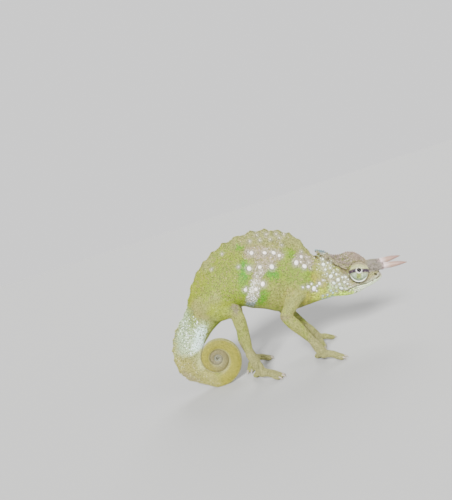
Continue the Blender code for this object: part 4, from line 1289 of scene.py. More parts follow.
# Markings, later ones over earlier ones: name, where, colour, half width, softness, path. Places are
# millimetres in "flat" (u, v) for both flanks alike, "solid" (u, distance from the middle, v) or "head"
# (its own u, v).
markings = [
    ("rear flank", "flat", (0.37, 0.46, 0.10), 8, 4, [(2, 40), (-5, 32), (-8, 24)]),
    ("back", "flat", (0.45, 0.46, 0.20), 4.6, 2.4, [(8, 49), (12, 50), (19, 50.5), (30, 49), (37, 44)]),
    ("sail edge", "flat", (0.40, 0.41, 0.17), 2.4, 1.6, [(-12, 29), (-8, 38.5), (-1, 47), (6, 52), (12, 54.6),
                                                         (19, 55.5), (31, 52.5), (37, 46)]),
    ("low flank", "flat", (0.44, 0.48, 0.16), 5.0, 2.5, [(20, 27), (30, 28)]),
    ("back stripe", "flat", (0.43, 0.46, 0.19), 1.4, 1.2, [(-3.4, 40.5), (-6, 36.1), (-8.6, 31.6)]),
    ("hip", "flat", (0.49, 0.53, 0.21), 2.0, 1.8, [(-3.6, 20.3), (-0.8, 26)]),
    ("green", "flat", (0.14, 0.43, 0.02), 1.6, 1.6, [(10.2, 38.6), (9.8, 34.6)]),
    ("green", "flat", (0.26, 0.44, 0.05), 1.5, 1.5, [(9.8, 33), (10.6, 28)]),
    ("green", "flat", (0.15, 0.43, 0.02), 1.6, 1.6, [(19.8, 35.6), (22.6, 35.4)]),
    ("green", "flat", (0.19, 0.43, 0.03), 1.5, 1.4, [(18.3, 28.6), (17.4, 24.4)]),
    ("green", "flat", (0.25, 0.45, 0.05), 1.3, 1.5, [(26.2, 43.3), (29.8, 42.1)]),
    ("green", "flat", (0.19, 0.43, 0.03), 1.2, 1.3, [(8.4, 46), (10.4, 45.4)]),
    ("green", "flat", (0.28, 0.44, 0.06), 1.4, 1.5, [(33.6, 36.0), (35.4, 34.0)]),
    ("mauve band", "flat", (0.55, 0.46, 0.34), 2.7, 1.6, [(12.5, 43.2), (18, 43.2), (24.2, 42.4)]),
    ("mauve band", "flat", (0.55, 0.46, 0.35), 2.6, 1.6, [(19.5, 40), (16.6, 37)]),
    ("mauve band", "flat", (0.58, 0.50, 0.40), 1.9, 1.1, [(16.6, 37), (15.2, 32.5)]),
    ("band low", "flat", (0.86, 0.86, 0.78), 2.2, 1.1, [(14.6, 31.2), (13.4, 26.4)]),
    ("band's end", "flat", (0.31, 0.39, 0.38), 2.2, 0.9, [(13.6, 24.6), (13.6, 23.6)]),
    # the second band's end is a near-black strip along the belly's lower edge
    ("band's end", "flat", (0.13, 0.18, 0.17), 2.1, 0.9, [(13.6, 21.6), (13.8, 19.5)]),
    ("shoulder", "flat", (0.34, 0.46, 0.11), 3.2, 2.4, [(27.6, 38), (29, 35.5), (32, 33)]),
    ("shoulder low", "flat", (0.46, 0.45, 0.14), 3.6, 2, [(29, 26), (34, 25)]),
    ("neck low", "flat", (0.54, 0.54, 0.15), 2.2, 1.8, [(33.0, 26.4), (38.0, 27.2)]),
    ("neck yellow", "flat", (0.54, 0.50, 0.13), 1.2, 1.2, [(38.0, 34.2), (40.6, 33.4)]),
    ("shoulder patch", "flat", (0.50, 0.43, 0.34), 2.7, 0.9, [(32.6, 41), (36.2, 40)]),
    ("belly", "flat", (0.46, 0.49, 0.18), 1.7, 1.4, [(4, 20), (14, 20.5), (24, 19.5), (32, 21)]),
    ("rump", "flat", (0.38, 0.45, 0.07), 3.4, 2.2, [(-8, 33), (-11, 27), (-12, 22)]),
    ("rump blotch", "flat", (0.44, 0.41, 0.18), 2.2, 1.8, [(-8.5, 22), (-5, 17.5)]),
    ("tail middle", "flat", (0.55, 0.57, 0.30), 4.6, 2.2, [(-14.5, 6), (-12.0, -0.5)]),
    ("tail base", "flat", (0.62, 0.75, 0.52), 4.0, 2.8, [(-14.0, 16.0), (-14.0, 11.5), (-13.0, 6.6)]),
    ("tail base", "flat", (0.60, 0.70, 0.40), 1.9, 1.7, [(-6.0, 15.0), (-6.0, 13.0)]),
    ("tail base", "flat", (0.78, 0.96, 0.90), 2.0, 1.6, [(-6.6, 12), (-7.2, 9), (-7.8, 5.4)]),
    ("tail inside", "flat", (0.48, 0.53, 0.22), 1.5, 1.2, [(-1.2, 18.2), (-3.0, 13.2), (-4.2, 9.0)]),
    ("tail outside", "flat", (0.52, 0.53, 0.23), 1.8, 1.2, [(-17.5, 13), (-19.5, 7), (-19.5, 0),
                                                            (-17.5, -6)]),
    ("tail low", "flat", (0.49, 0.47, 0.19), 5.4, 2.0, [(-13.5, -3.5), (-8, -8.5), (-2, -10.5)]),
    ("tail low", "flat", (0.44, 0.40, 0.22), 1.5, 1.4, [(-12.5, -6), (-9, -9)]),
    ("tail low", "flat", (0.76, 0.78, 0.44), 1.2, 1.2, [(-7.0, 3.4), (-6.9, -0.8), (-6.2, -3.4)]),
    ("tail low", "flat", (0.60, 0.58, 0.25), 1.2, 1.1, [(-5.4, -5.0), (-2.4, -6.6)]),
    ("thigh", "solid", (0.36, 0.43, 0.08), 3.6, 1.6, [(0, 7.5, 21), (4, 9, 21.8)]),
    ("shank", "solid", (0.41, 0.43, 0.16), 3.2, 1.0, [(8.4, 10.8, 18), (12.4, 9.8, 6)]),
    ("knee", "solid", (0.32, 0.28, 0.19), 2.2, 1.2, [(7.2, 11.6, 23.0)]),
    ("hind foot", "solid", (0.42, 0.41, 0.20), 4.6, 1.6, [(12.6, 9.6, 2.8), (18, 9, -2), (21, 13, -3)]),
    ("upper arm", "solid", (0.42, 0.44, 0.18), 2.8, 1.2, [(30.5, 7.4, 26), (27.6, 9.4, 22)]),
    ("forearm", "solid", (0.42, 0.43, 0.17), 2.9, 1.0, [(27.5, 10.8, 18.4), (36.8, 10.2, 10.0)]),
    ("elbow", "solid", (0.35, 0.31, 0.18), 2.0, 1.2, [(25.4, 11.2, 19.6)]),
    ("fore foot", "solid", (0.42, 0.41, 0.20), 4.6, 1.6, [(37.4, 10, 8.2), (43, 9, 3), (46, 13, 2)]),
    ("neck", "head", (0.54, 0.54, 0.18), 2.6, 1.2, [(37.5, 36.5), (41.5, 33)]),
    ("cheek", "head", (0.47, 0.48, 0.21), 3.8, 1.4, [(41.5, 40), (46, 35.4), (51, 33.6)]),
    ("cheek", "head", (0.46, 0.50, 0.18), 2.4, 1.2, [(39.9, 41.5), (43, 38)]),
    # throat: its yellow, made paler still as painted light on the underside
    ("throat", "flat", (0.72, 0.82, 0.20), 2.8, 1.8, [(40.0, 26.6), (44, 26.4), (48, 28)]),
    ("cheek low", "head", (0.64, 0.86, 0.36), 1.7, 1.0, [(44.6, 31.4), (51, 31.2)]),
    ("snout", "head", (0.60, 0.57, 0.31), 2.6, 1.0, [(52, 33.6), (58, 34.4), (64.5, 36.0)]),
    ("upper lip", "head", (0.60, 0.56, 0.40), 0.8, 0.3, [(53.7, 32.1), (56.7, 32.8), (61, 34.2), (65, 36.2)]),
    # jaw and jaw rear: their pale colours, made paler still as painted light on the underside
    ("jaw", "head", (0.80, 0.90, 0.68), 2.0, 0.8, [(52, 28.8), (58, 30.2), (64, 33.2)]),
    ("jaw rear", "head", (0.74, 0.98, 0.26), 1.8, 1.2, [(46.5, 27.2), (50.5, 28.0), (52.6, 28.6)]),
    ("temple", "head", (0.31, 0.26, 0.16), 1.5, 1.0, [(49.4, 38.0), (51.2, 36.6)]),
    ("brow", "head", (0.42, 0.36, 0.24), 1.5, 0.8, [(51.0, 40.6), (54.5, 41.9), (58.5, 40.6)]),
    ("casque", "head", (0.36, 0.30, 0.26), 2.8, 0.6, [(38.5, 46.3), (43, 46), (46.5, 44.2), (50, 43.2)]),
    ("casque", "head", (0.40, 0.32, 0.26), 1.9, 0.6, [(49, 42.7), (53, 44.2), (57, 43)]),
    ("casque", "head", (0.33, 0.27, 0.22), 1.6, 0.6, [(47.4, 41.6), (50.6, 41.2)]),
    ("casque rim", "head", (0.25, 0.37, 0.40), 1.5, 0.7, [(36.8, 46.0), (39.6, 45.2), (42, 45.2)]),
    # painted shade: a near-black line in the groove under the crest
    ("shade under the crest", "head", (0.13, 0.10, 0.06), 0.42, 0.3, [(40.4, 42.7), (46.3, 39.7), (49.9, 38.2)]),
    # painted highlight along the raised crest's ridge
    ("crest", "head", (0.46, 0.41, 0.28), 0.45, 0.3, [(38.7, 44), (42.2, 42.9), (46.1, 40.5), (49.7, 38.9)]),
    ("process", "head", (0.36, 0.32, 0.28), 1.9, 0.8, [(59.6, 38.5), (65.5, 39.4)]),
    ("horn's foot", "head", (0.52, 0.42, 0.40), 1.0, 0.6, [(65.2, 41.0), (65.4, 36.0)]),
    # painted shade: dark lines in the throat's pressed creases
    ("fold", "flat", (0.30, 0.28, 0.12), 0.15, 0.12, throatFolds[0]),
    ("fold", "flat", (0.30, 0.28, 0.12), 0.15, 0.12, throatFolds[1]),
    # painted highlight: pale lines along the creases' upper lips
    ("fold's lit edge", "flat", (0.68, 0.68, 0.42), 0.26, 0.2, [(42.1, 33.1), (45.5, 30.3), (48.7, 27.5)]),
    ("fold's lit edge", "flat", (0.68, 0.68, 0.42), 0.26, 0.2, [(43.7, 34.0), (47.5, 30.9), (50.8, 28.7)]),
    # painted shadow: a near-black line in the neck's crease under the casque
    ("neck fold shadow", "flat", (0.09, 0.07, 0.03), 0.42, 0.24, [(38.2, 43.4), (39.1, 41.8), (40.0, 40.2)]),
    # painted shade: dark lines in the pressed groove of the mouth and in the nostril's pit
    ("mouth", "head", (0.20, 0.15, 0.11), 0.20, 0.14, head["mouth"][:-1]),
    ("nostril", "head", (0.03, 0.02, 0.02), 0.26, 0.1, head["nostrilSlit"]),
]
# A share of the scales in some places is of another colour: share, colour, where, half width, path.
specks = [
    (0.24, (0.76, 0.68, 0.60), "flat", 2.6, [(12.5, 43), (24, 42.5), (16.5, 37)]),
    (0.38, (0.78, 0.72, 0.66), "flat", 1.7, [(16.6, 37.5), (15, 32), (13.6, 26)]),
    (0.62, (0.96, 0.95, 0.92), "flat", 1.9, [(14.4, 30.6), (13.2, 27)]),
    (0.34, (0.56, 0.64, 0.64), "flat", 1.8, [(13.6, 24.6), (13.6, 23.6)]),
    (0.10, (0.66, 0.60, 0.44), "flat", 3.5, [(12, 50), (19, 51), (26, 49)]),
    (0.30, (0.72, 0.62, 0.56), "flat", 2.0, [(33, 42), (37.5, 40)]),
    # pale scales at the tail base, brightened to white as painted glints
    (0.22, (0.92, 1.0, 0.98), "flat", 3.8, [(-10.6, 14.6), (-11.4, 10), (-9.4, 6)]),
    (0.30, (0.26, 0.33, 0.20), "flat", 3.8, [(-12, 19), (-13.5, 14), (-15.5, 8)]),
    (0.10, (0.70, 0.68, 0.46), "flat", 4.6, [(-15, 2), (-12, -6), (-4, -11)]),
    (0.24, (0.78, 0.84, 0.66), "head", 3.6, [(41.4, 40.5), (45.6, 34.5), (50.4, 33.5)]),
    (0.34, (0.86, 0.82, 0.80), "head", 1.5, [(51.0, 31.4), (54, 29.6), (58, 30.4)]),
    (0.16, (0.14, 0.11, 0.08), "head", 1.6, [(41, 43.6), (46.3, 40.6), (50.5, 40)]),
    (0.12, (0.60, 0.54, 0.42), "head", 2.6, [(44, 45), (50, 42.6), (56, 42.6)]),
    (0.18, (0.14, 0.12, 0.11), "head", 1.9, [(60.5, 37.8), (64.5, 38.6)]),
    (0.60, (0.50, 0.80, 0.78), "head", 0.9, [(41.0, 25.6), (44.6, 25.9), (47.4, 26.3)]),
    (0.17, (0.22, 0.26, 0.08), "flat", 30, [(5, 35), (30, 35)]),
    (0.26, (0.45, 0.41, 0.18), "flat", 14, [(-2, 38), (15, 38), (30, 32)]),
]
# Along the coil: colour after so many turns, the last, near-black one painted shade in the coil's hollow
# middle; the whorls' outer edges are paler.
coilColour = {
    "turns": (0, 0.8, 1.05, 1.6, 2.4, 3.2, 3.7),
    "shades": ((0.47, 0.44, 0.12), (0.45, 0.42, 0.12), (0.35, 0.32, 0.16), (0.33, 0.29, 0.17),
               (0.35, 0.34, 0.25), (0.48, 0.50, 0.44), (0.05, 0.05, 0.03)),
    "edge": (0.70, 0.68, 0.42),
}
# What lies under the markings, and how far their edges wander: (wave length, depth) in millimetres.
ground = {
    "flank": (0.355, 0.46, 0.085), "limb": (0.41, 0.42, 0.17),
    "bodyWaves": (9.0, 0.45), "headWaves": (7.0, 0.10),
    "jitter": 0.38,                  # from how far off a single scale takes its colour
}
eyeColour = {
    "turret": (0.71, 0.73, 0.43), "top": (0.46, 0.41, 0.27),
    # the last colour on the next line is painted shade where the lower turret meets the lid's rim
    "low": (0.60, 0.71, 0.54), "wedge": (0.45, 0.55, 0.21), "turretRimShadow": (0.42, 0.52, 0.36),
    # outside is the skin beyond the rim; the near-black one after it is painted shadow under the lower lid's
    # rim
    "outside": (0.50, 0.47, 0.33), "lidShadow": (0.07, 0.07, 0.04),
    # the dark bar's two lengths and half width, and the pale ring round the opening
    "bar": (0.09, 0.065, 0.09), "rear": ((-3.9, -0.75), (-1.1, -0.1)), "front": ((1.1, -0.15), (3.7, 0.25)),
    "barWide": 0.64,
    "ring": (0.95, 0.92, 0.92), "ringAt": 1.05, "ringWide": 0.18,
    "lidAt": 4.25, "lidWide": 0.28,  # the shade under the lid's rim
}
# Colours above are as they look in the photograph; here they become the surface's own: stronger in hue, and
# all but the palest ones darker, so that the white plates stand out under a strong light.
surface = {"vividness": 1.3, "dark": 0.61, "paleFrom": 0.50, "paleTo": 0.92}


def waved(places, scale, depth, start):
    # a smooth wandering of places, so that the edges of the markings don't run true
    draw = np.random.default_rng(seed + start)
    moved = np.zeros_like(places)
    for power in (1.0, 2.1, 4.3):
        ways = unit(draw.normal(0, 1, (3, 3)))
        moved += np.sin(places @ ways.T * power * 2 * np.pi / scale + draw.uniform(0, 6, 3)) / power ** 0.7
    return places + moved * depth


def tinted(colour, shade, mask):
    return blend(colour, np.array(shade), mask[:, None])


def vivid(colour):
    grey = colour @ (0.3, 0.5, 0.2)
    gain = blend(surface["dark"], 1.0, smoothStep(surface["paleFrom"], surface["paleTo"], grey))[:, None]
    return np.clip((grey[:, None] + (colour - grey[:, None]) * surface["vividness"]) * gain, 0.006, 0.95)


def coilTurn(flat):
    # how many turns along the coil a place lies, its share of the whorl's height, and if it is on the coil
    radius = np.maximum(np.linalg.norm(flat, axis=1), 0.05)
    angle = (np.arctan2(flat[:, 0], -flat[:, 1]) / (2 * np.pi)) % 1
    full = np.log(coil["radius"] / radius) / -math.log(coil["ratio"])
    turn = np.floor(full - angle + 0.02) + angle
    outer = coil["radius"] * coil["ratio"] ** turn
    share = (radius / outer - coil["ratio"]) / (1 - coil["ratio"])
    near = smoothStep(-0.10, 0.06, full - angle) * smoothStep(-0.02, 0.06, turn)
    return turn, share, near * (turn > -0.01)


def markedColour(points, single, plate):
    # the animal's colour at places in metres; single scales also get specks and wander a little
    draw = np.random.default_rng(seed + 5)
    plane, crown = bodyPlane(points), headPlane(points)
    jitter = draw.normal(0, 1, plane.shape) * (ground["jitter"] if single else 0.0)
    plane = waved(plane, *ground["bodyWaves"], 21) + jitter
    crown = waved(crown, *ground["headWaves"], 22) + jitter * 0.3
    solid = plane * (1, 0, 1) + np.abs(plane) * (0, 1, 0)
    spaces = {"flat": plane[:, [0, 2]], "solid": solid, "head": crown[:, [0, 2]]}
    colour = np.tile(ground["flank"], (len(points), 1))
    onHead = smoothStep(36.0, 39.0, crown[:, 0] + (crown[:, 2] - 40) * 0.25)
    onLimb = 1 - smoothStep(-0.5, 0.9, nearestLimb(plane))
    offCoil = smoothStep(12.4, 13.0, np.hypot(plane[:, 0], plane[:, 2])) * smoothStep(2, 5, plane[:, 0])
    offMiddle = smoothStep(3.6, 4.6, np.abs(plane[:, 1]))
    onFoot = smoothStep(8.0, 6.5, points[:, 2] / mm) * np.maximum(offCoil, offMiddle)
    onLimb = np.maximum(onLimb, onFoot)
    green = np.zeros(len(points))
    for name, where, shade, wide, soft, path in markings:
        mask = 1 - smoothStep(wide - soft, wide + soft, distanceToPath(spaces[where], path))
        if where == "head":
            mask = mask * onHead
        if name == "tail low":
            mask = mask * (1 - onLimb)
        if name == "nostril" and single:
            continue
        if name == "thigh":          # the first of the limbs: their own ground goes under it
            colour = tinted(colour, ground["limb"], onLimb)
        if name == "green":
            green = np.maximum(green, mask)
        colour = tinted(colour, shade, mask)
    turn, share, inCoil = coilTurn(bodyPlane(points)[:, [0, 2]])
    turn = turn + jitter[:, 0] * 0.15
    shade = np.stack([np.interp(turn, coilColour["turns"], c) for c in zip(*coilColour["shades"])], 1)
    rims = smoothStep(0.82, 0.97, share) * 0.6 + smoothStep(0.22, 0.02, share) * 0.55
    colour = tinted(colour, tinted(shade, coilColour["edge"], rims), inCoil * (1 - onLimb))
    if single:
        for share, shade, where, wide, path in specks:
            mask = 1 - smoothStep(wide * 0.7, wide * 1.2, distanceToPath(spaces[where], path))
            mask = mask * (onHead if where == "head" else 1 - onLimb) * (1 - green * 0.75)
            chosen = draw.random(len(points)) < share * mask
            colour[chosen] = tinted(colour[chosen], shade, draw.uniform(0.5, 1.0, chosen.sum()))
    near = kdTree(plate[:, :3])
    found = [near.find(p) for p in points.tolist()]
    halo = np.array([(f[2] / mm - plate[f[1], 6]) / (0.5 + plate[f[1], 6] * 0.5) for f in found])
    colour = tinted(colour, plates["halo"], np.exp(-np.maximum(halo, 0) ** 2) * 0.5)
    # painted shadow: a dark arc under each lower lid's rim
    for word in ("right", "left"):
        flat, radius, out = eyeSight(points, word)
        side = (out > -1.5) * smoothStep(-1.6, -3.2, flat[:, 1])
        mask = np.exp(-((radius - eyeColour["lidAt"]) / eyeColour["lidWide"]) ** 2) * side * 1.3
        colour = tinted(colour, eyeColour["lidShadow"], np.clip(mask, 0, 1))
    return vivid(colour)


def turretColour(places):
    # colour over a turret, whose places are (along, up, out) in millimetres from its centre
    flat = places[:, :2]
    radius = np.linalg.norm(flat, axis=1)
    colour = np.tile(eyeColour["turret"], (len(flat), 1))
    top = smoothStep(1.2, 2.6, flat[:, 1]) * smoothStep(1.6, 3.0, radius)
    low = smoothStep(-0.3, -1.6, flat[:, 1])
    colour = tinted(colour, eyeColour["top"], top)
    colour = tinted(colour, eyeColour["low"], low)
    colour = tinted(colour, eyeColour["wedge"], low * (1 - smoothStep(0.5, 1.2, np.abs(flat[:, 0]))))
    # painted shade: the lower turret darker where it meets the lid's rim
    colour = tinted(colour, eyeColour["turretRimShadow"], low * smoothStep(2.7, 3.4, radius))
    beyond = np.hypot(flat[:, 0] / eye["rim"]["axes"][0], flat[:, 1] / eye["rim"]["axes"][1])
    beyond = smoothStep(0.94, 1.02, beyond) * smoothStep(0.4, -0.4, flat[:, 1])
    colour = tinted(colour, eyeColour["outside"], beyond)
    for ends in (eyeColour["rear"], eyeColour["front"]):
        far = distanceToPath(flat, ends)
        bar = 1 - smoothStep(eyeColour["barWide"] - 0.12, eyeColour["barWide"] + 0.16, far)
        colour = tinted(colour, eyeColour["bar"], bar)
    ring = np.exp(-((radius - eyeColour["ringAt"]) / eyeColour["ringWide"]) ** 2)
    ring = ring * (0.25 + 0.75 * smoothStep(0.8, -0.2, flat[:, 1]))
    return vivid(tinted(colour, eyeColour["ring"], np.clip(ring * 1.3, 0, 1)))


def setInputs(tree, node, inputs):
    # sockets are linked, other values set
    for key, value in inputs.items():
        if isinstance(value, bpy.types.NodeSocket):
            tree.links.new(value, node.inputs[key])
        else:
            node.inputs[key].default_value = value


def addNode(tree, kind, inputs=None, **settings):
    node = tree.nodes.new("ShaderNode" + kind)
    for key, value in settings.items():
        setattr(node, key, value)
    setInputs(tree, node, inputs or {})
    return node


def scaledBy(tree, vector, factor):
    return addNode(tree, "VectorMath", {0: vector, "Scale": factor}, operation="SCALE").outputs[0]


def product(tree, a, b, kind="Math"):
    return addNode(tree, kind, {0: a, 1: b}, operation="MULTIPLY").outputs[0]


def ranged(tree, value, start, end, low, high):
    # value from start to end made to run from low to high
    return addNode(tree, "MapRange", {"Value": value, "From Min": start, "From Max": end,
                                      "To Min": low, "To Max": high}).outputs[0]


def newGroup(name, inputs, outputs):
    # a shader node group; inputs are (name, kind, default), outputs (name, kind)
    tree = bpy.data.node_groups.new(name, "ShaderNodeTree")
    for word, kind, value in inputs:
        socket = tree.interface.new_socket(word, in_out="INPUT", socket_type="NodeSocket" + kind)
        if value is not None:
            socket.default_value = value
    for word, kind in outputs:
        tree.interface.new_socket(word, in_out="OUTPUT", socket_type="NodeSocket" + kind)
    return tree, tree.nodes.new("NodeGroupInput"), tree.nodes.new("NodeGroupOutput")


def grainGroup():
    # fine grain of living skin: a height for the bump and a mottled shade
    tree, given, found = newGroup("grain", [("Place", "Vector", None), ("Size", "Float", 1.0)],
                                  [("Height", "Float"), ("Shade", "Float")])
    place = scaledBy(tree, scaledBy(tree, given.outputs["Place"], 1000.0), given.outputs["Size"])
    cells = addNode(tree, "TexVoronoi", {"Vector": place, "Scale": 6.0}, feature="F1")
    noise = addNode(tree, "TexNoise", {"Vector": place, "Scale": 2.2, "Detail": 3.0}).outputs["Fac"]
    height = addNode(tree, "Math", {0: cells.outputs["Distance"], 1: -0.7, 2: noise},
                     operation="MULTIPLY_ADD")
    setInputs(tree, found, {"Height": height.outputs[0], "Shade": ranged(tree, noise, 0.3, 0.7, 0.88, 1.12)})
    return tree


def scaleToneGroup():
    # one scale's colour: the marking under it, lighter or darker, with painted shade darkening its rim and a
    # painted highlight on its crown
    tree, given, found = newGroup("scaleTone", [
        ("Marking", "Vector", None), ("Tone", "Float", 0.5), ("Crown", "Float", 0.5), ("Shade", "Float", 1.0),
        ("Highlight", "Float", 0.3)], [("Colour", "Color")])
    tone, crown = given.outputs["Tone"], given.outputs["Crown"]
    lit = product(tree, ranged(tree, tone, 0.0, 1.0, 0.68, 1.32), given.outputs["Shade"])
    body = scaledBy(tree, given.outputs["Marking"], lit)
    # painted shade: the scale darker towards its rim
    rim = scaledBy(tree, body, ranged(tree, crown, 0.02, 0.62, 0.42, 1.0))
    # painted highlight: its crown mixed towards a pale colour
    top = product(tree, tone, ranged(tree, crown, 0.6, 1.0, 0.0, 1.0))
    share = product(tree, top, given.outputs["Highlight"])
    mix = addNode(tree, "Mix", {0: share, 6: rim, 7: (0.44, 0.41, 0.31, 1)}, data_type="RGBA")
    setInputs(tree, found, {"Colour": mix.outputs[2]})
    return tree


def readAttribute(tree, name, output="Fac"):
    return addNode(tree, "Attribute", attribute_name=name).outputs[output]


def newMaterial(name, inputs):
    # inputs are the shader's, or a function that makes them in the material's tree
    material = bpy.data.materials.new(name)
    material.use_nodes = True
    tree = material.node_tree
    setInputs(tree, tree.nodes["Principled BSDF"], inputs(tree) if callable(inputs) else inputs)
    return material


def plainMaterial(name, colour, roughness, **others):
    return newMaterial(name, {"Base Color": (*colour, 1), "Roughness": roughness, **others})


def grainedMaterial(name, colourOf, size, roughness, bump=None, **others):
    # size of the grain, and strength and depth in millimetres of its bump
    def inputs(tree):
        place = addNode(tree, "TexCoord").outputs["Object"]
        fine = addNode(tree, "Group", {"Place": place, "Size": size}, node_tree=grain).outputs
        found = {"Base Color": colourOf(tree, fine["Shade"]), "Roughness": roughness, **others}
        if bump:
            strength, depth = bump
            raised = addNode(tree, "Bump", {"Height": fine["Height"], "Strength": strength,
                                            "Distance": depth * mm})
            found["Normal"] = raised.outputs[0]
        return found

    return newMaterial(name, inputs)


def skinColour(tree, shade):
    # the soft skin between the scales
    shaded = scaledBy(tree, readAttribute(tree, "marking", "Vector"), shade)
    return product(tree, shaded, (0.30, 0.31, 0.19), "VectorMath")


def turretSkinColour(tree, _):
    # the turret's own skin, seen between its granules
    return product(tree, readAttribute(tree, "marking", "Vector"), (0.55, 0.52, 0.48), "VectorMath")


def hornColour(tree, shade):
    # pinkish horn, peach at the tip, with painted shade darkening the grooves between its rings
    ramp = addNode(tree, "ValToRGB", {"Fac": readAttribute(tree, "run")})
    stops = ramp.color_ramp.elements
    stops[0].color, stops[1].color = (0.76, 0.62, 0.64, 1), (0.24, 0.12, 0.066, 1)
    stops.new(0.35).color = (0.37, 0.24, 0.18, 1)
    stops.new(0.75).color = (0.30, 0.18, 0.15, 1)
    # painted shade: darker in the grooves between the rings
    ring = ranged(tree, readAttribute(tree, "ring"), 0.0, 1.0, 0.66, 1.08)
    return scaledBy(tree, ramp.outputs["Color"], product(tree, ring, shade))


def clawColour(tree, shade):
    return scaledBy(tree, (0.31, 0.27, 0.21), shade)


def scaleMaterial(name, pale, roughness):
    # pale sets the strength of the painted highlight on each scale's crown
    def colour(tree, shade):
        marking = readAttribute(tree, "marking", "Vector")
        return addNode(tree, "Group", {"Marking": marking, "Tone": readAttribute(tree, "tone"),
                                       "Crown": readAttribute(tree, "crown"), "Shade": shade, "Highlight": pale},
                       node_tree=tones).outputs["Colour"]

    return grainedMaterial(name, colour, 1.3, roughness, (0.25, 0.05), **{"Specular IOR Level": 0.22})


stageLook = {
    "floor": (0.46, 0.46, 0.452), "world": (0.93, 0.93, 0.935), "worldStrength": 0.51, "seen": 1.24,
    # broad lights from far away: the way they come from, how wide in degrees, strength
    "lights": [{"name": "key", "way": (-350, -1500, 860), "wide": 14, "strength": 8.5},
               {"name": "fill", "way": (1200, -900, 500), "wide": 50, "strength": 1.53},
               {"name": "rim", "way": (300, 1200, 1100), "wide": 40, "strength": 2.4}],
}
photoView = {"pitch": math.radians(5), "distance": 188.0, "middle": (3.4, 44.3), "lens": 33.84}


def addLight(spec):
    data = bpy.data.lights.new(spec["name"], "SUN")
    data.angle = math.radians(spec["wide"])
    data.energy = spec["strength"]
    obj = linked(spec["name"], data)
    obj.location = Vector(spec["way"]) * mm
    obj.rotation_euler = Vector(spec["way"]).to_track_quat("Z", "Y").to_euler()
    return obj


def addStage():
    bm = bmesh.new()
    bmesh.ops.create_grid(bm, x_segments=1, y_segments=1, size=8.0)
    floor = newObject("floor", bm)
    floor.data.materials.append(plainMaterial("pale_floor", stageLook["floor"], 0.9))
    world = bpy.data.worlds.new("studio")
    world.use_nodes = True
    tree = world.node_tree
    background = tree.nodes["Background"]
    background.inputs["Color"].default_value = (*stageLook["world"], 1)
    seen = addNode(tree, "LightPath").outputs["Is Camera Ray"]
    strength = ranged(tree, seen, 0.0, 1.0, stageLook["worldStrength"], stageLook["seen"])
    tree.links.new(strength, background.inputs["Strength"])
    bpy.context.scene.world = world
    [addLight(spec) for spec in stageLook["lights"]]


def addCamera():
    # the photograph's angle and framing, turned with the animal's pitch
    c, s = math.cos(pose["lean"]), math.sin(pose["lean"])

    def turned(u, y, v):
        return Vector((u * c + v * s, y, v * c - u * s))

    tilt = photoView["pitch"]
    forward = turned(0, math.cos(tilt), -math.sin(tilt))
    up = turned(0, math.sin(tilt), math.cos(tilt))
    u, v = photoView["middle"]
    aim = turned(u, 0, v) + Vector((*pose["coilMiddle"], pose["coilHeight"]))
    place = aim - forward * photoView["distance"]
    data = bpy.data.cameras.new("photo_camera")
    data.lens = photoView["lens"]
    data.clip_start = 0.005
    obj = linked("photo_camera", data)
    rotation = Matrix((turned(1, 0, 0), up, -forward)).transposed()
    obj.matrix_world = Matrix.Translation(place * mm) @ rotation.to_4x4()
    bpy.context.scene.camera = obj


def paint(piece, colour):
    writeValues(piece.data, "marking", colour)


def readVectors(piece, name, every=1):
    # an attribute's vectors, of all points or of one in so many
    return readValues(piece.data.attributes[name].data, "vector", 3)[::every]


def finishPiece(obj, material):
    obj.data.materials.clear()
    obj.data.materials.append(material)
    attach(obj, "root")


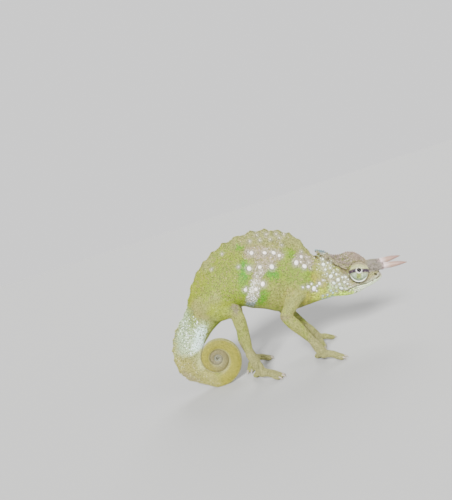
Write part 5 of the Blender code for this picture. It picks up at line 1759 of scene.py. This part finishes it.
grain, tones = grainGroup(), scaleToneGroup()
materials = {
    "skin": grainedMaterial("skin_between_scales", skinColour, 1.0, 0.62, (0.5, 0.08)),
    # the first number given to scaleMaterial is the strength of the painted highlight on each scale's crown
    "scale": scaleMaterial("skin_scales", 0.15, 0.50),
    "plate": scaleMaterial("pale_plates", 0.1, 0.42),
    "crest": scaleMaterial("crest_scales", 0.3, 0.50),
    "turretScale": scaleMaterial("turret_scales", 0.2, 0.48),
    "turret": grainedMaterial("turret_skin", turretSkinColour, 1.6, 0.55, (0.4, 0.06)),
    "eye": plainMaterial("eyeball", (0.012, 0.010, 0.010), 0.08,
                         **{"Specular IOR Level": 0.2, "Coat Weight": 0.25, "Coat Roughness": 0.03}),
    "horn": grainedMaterial("horn_keratin", hornColour, 1.6, 0.42, (0.2, 0.05)),
    "claw": grainedMaterial("claw_keratin", clawColour, 1.2, 0.35),
    "rim": plainMaterial("lid_rim", (0.72, 0.76, 0.64), 0.4),
}

skin = makeBodySkin()
addCoil(skin)
coatPieces, platesPiece, rowPiece, plateList = makeCoat(skin)
paint(skin, markedColour(readPoints(skin.data), False, plateList))
for piece in coatPieces + [rowPiece]:
    size = len(coneShape[0]) if piece is rowPiece else len(pebble[0])
    single = markedColour(readVectors(piece, "root", size), True, plateList)
    paint(piece, np.repeat(single, size, axis=0))
draw = np.random.default_rng(seed + 9)
tint = np.array(list(plates["tints"].values()))[plateList[:, 7].astype(int)]
tint = tint * draw.uniform(0.88, 1.0, (len(tint), 1)) + draw.normal(0, 0.015, tint.shape)
dome = smoothStep(0.0, 0.62, plateShape[0][:, 2])[None, :, None]
paint(platesPiece, blend(np.array(plates["edge"]), tint[:, None, :], dome).reshape(-1, 3))
fleshNodes = [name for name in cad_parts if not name.startswith(("eye_", "horn_"))]
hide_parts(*fleshNodes)
finishPiece(skin, materials["skin"])
for piece in coatPieces:
    finishPiece(piece, materials["scale"])
finishPiece(platesPiece, materials["plate"])
finishPiece(rowPiece, materials["crest"])

for word in ("right", "left"):
    turret = turnedPiece("turret_" + word, word, curvedPath(eye["turret"], 5), 64)
    paint(turret, turretColour(readVectors(turret, "mark")))
    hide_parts("eye_turret_" + word)
    finishPiece(turret, materials["turret"])
    granules = turretGranules(word)
    single = turretColour(readVectors(granules, "root", len(pebble[0])))
    spread = np.random.default_rng(seed + 12).normal(0, 0.14, (len(single), 1))
    single = np.clip(single * (1 + spread) + spread * (0.2, 0.16, 0.08), 0.01, 0.95)
    paint(granules, np.repeat(single, len(pebble[0]), axis=0))
    finishPiece(granules, materials["turretScale"])
    ball = turnedPiece("eyeball_" + word, word, eyeballProfile(), 40)
    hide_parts("eye_" + word)
    finishPiece(ball, materials["eye"])
    finishPiece(makeLidRim(word), materials["rim"])
    keratin = makeHorn(word)
    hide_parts("horn_" + word)
    finishPiece(keratin, materials["horn"])
    finishPiece(makeClaws(word), materials["claw"])
print("eyes, horns and claws made")

addStage()
addCamera()
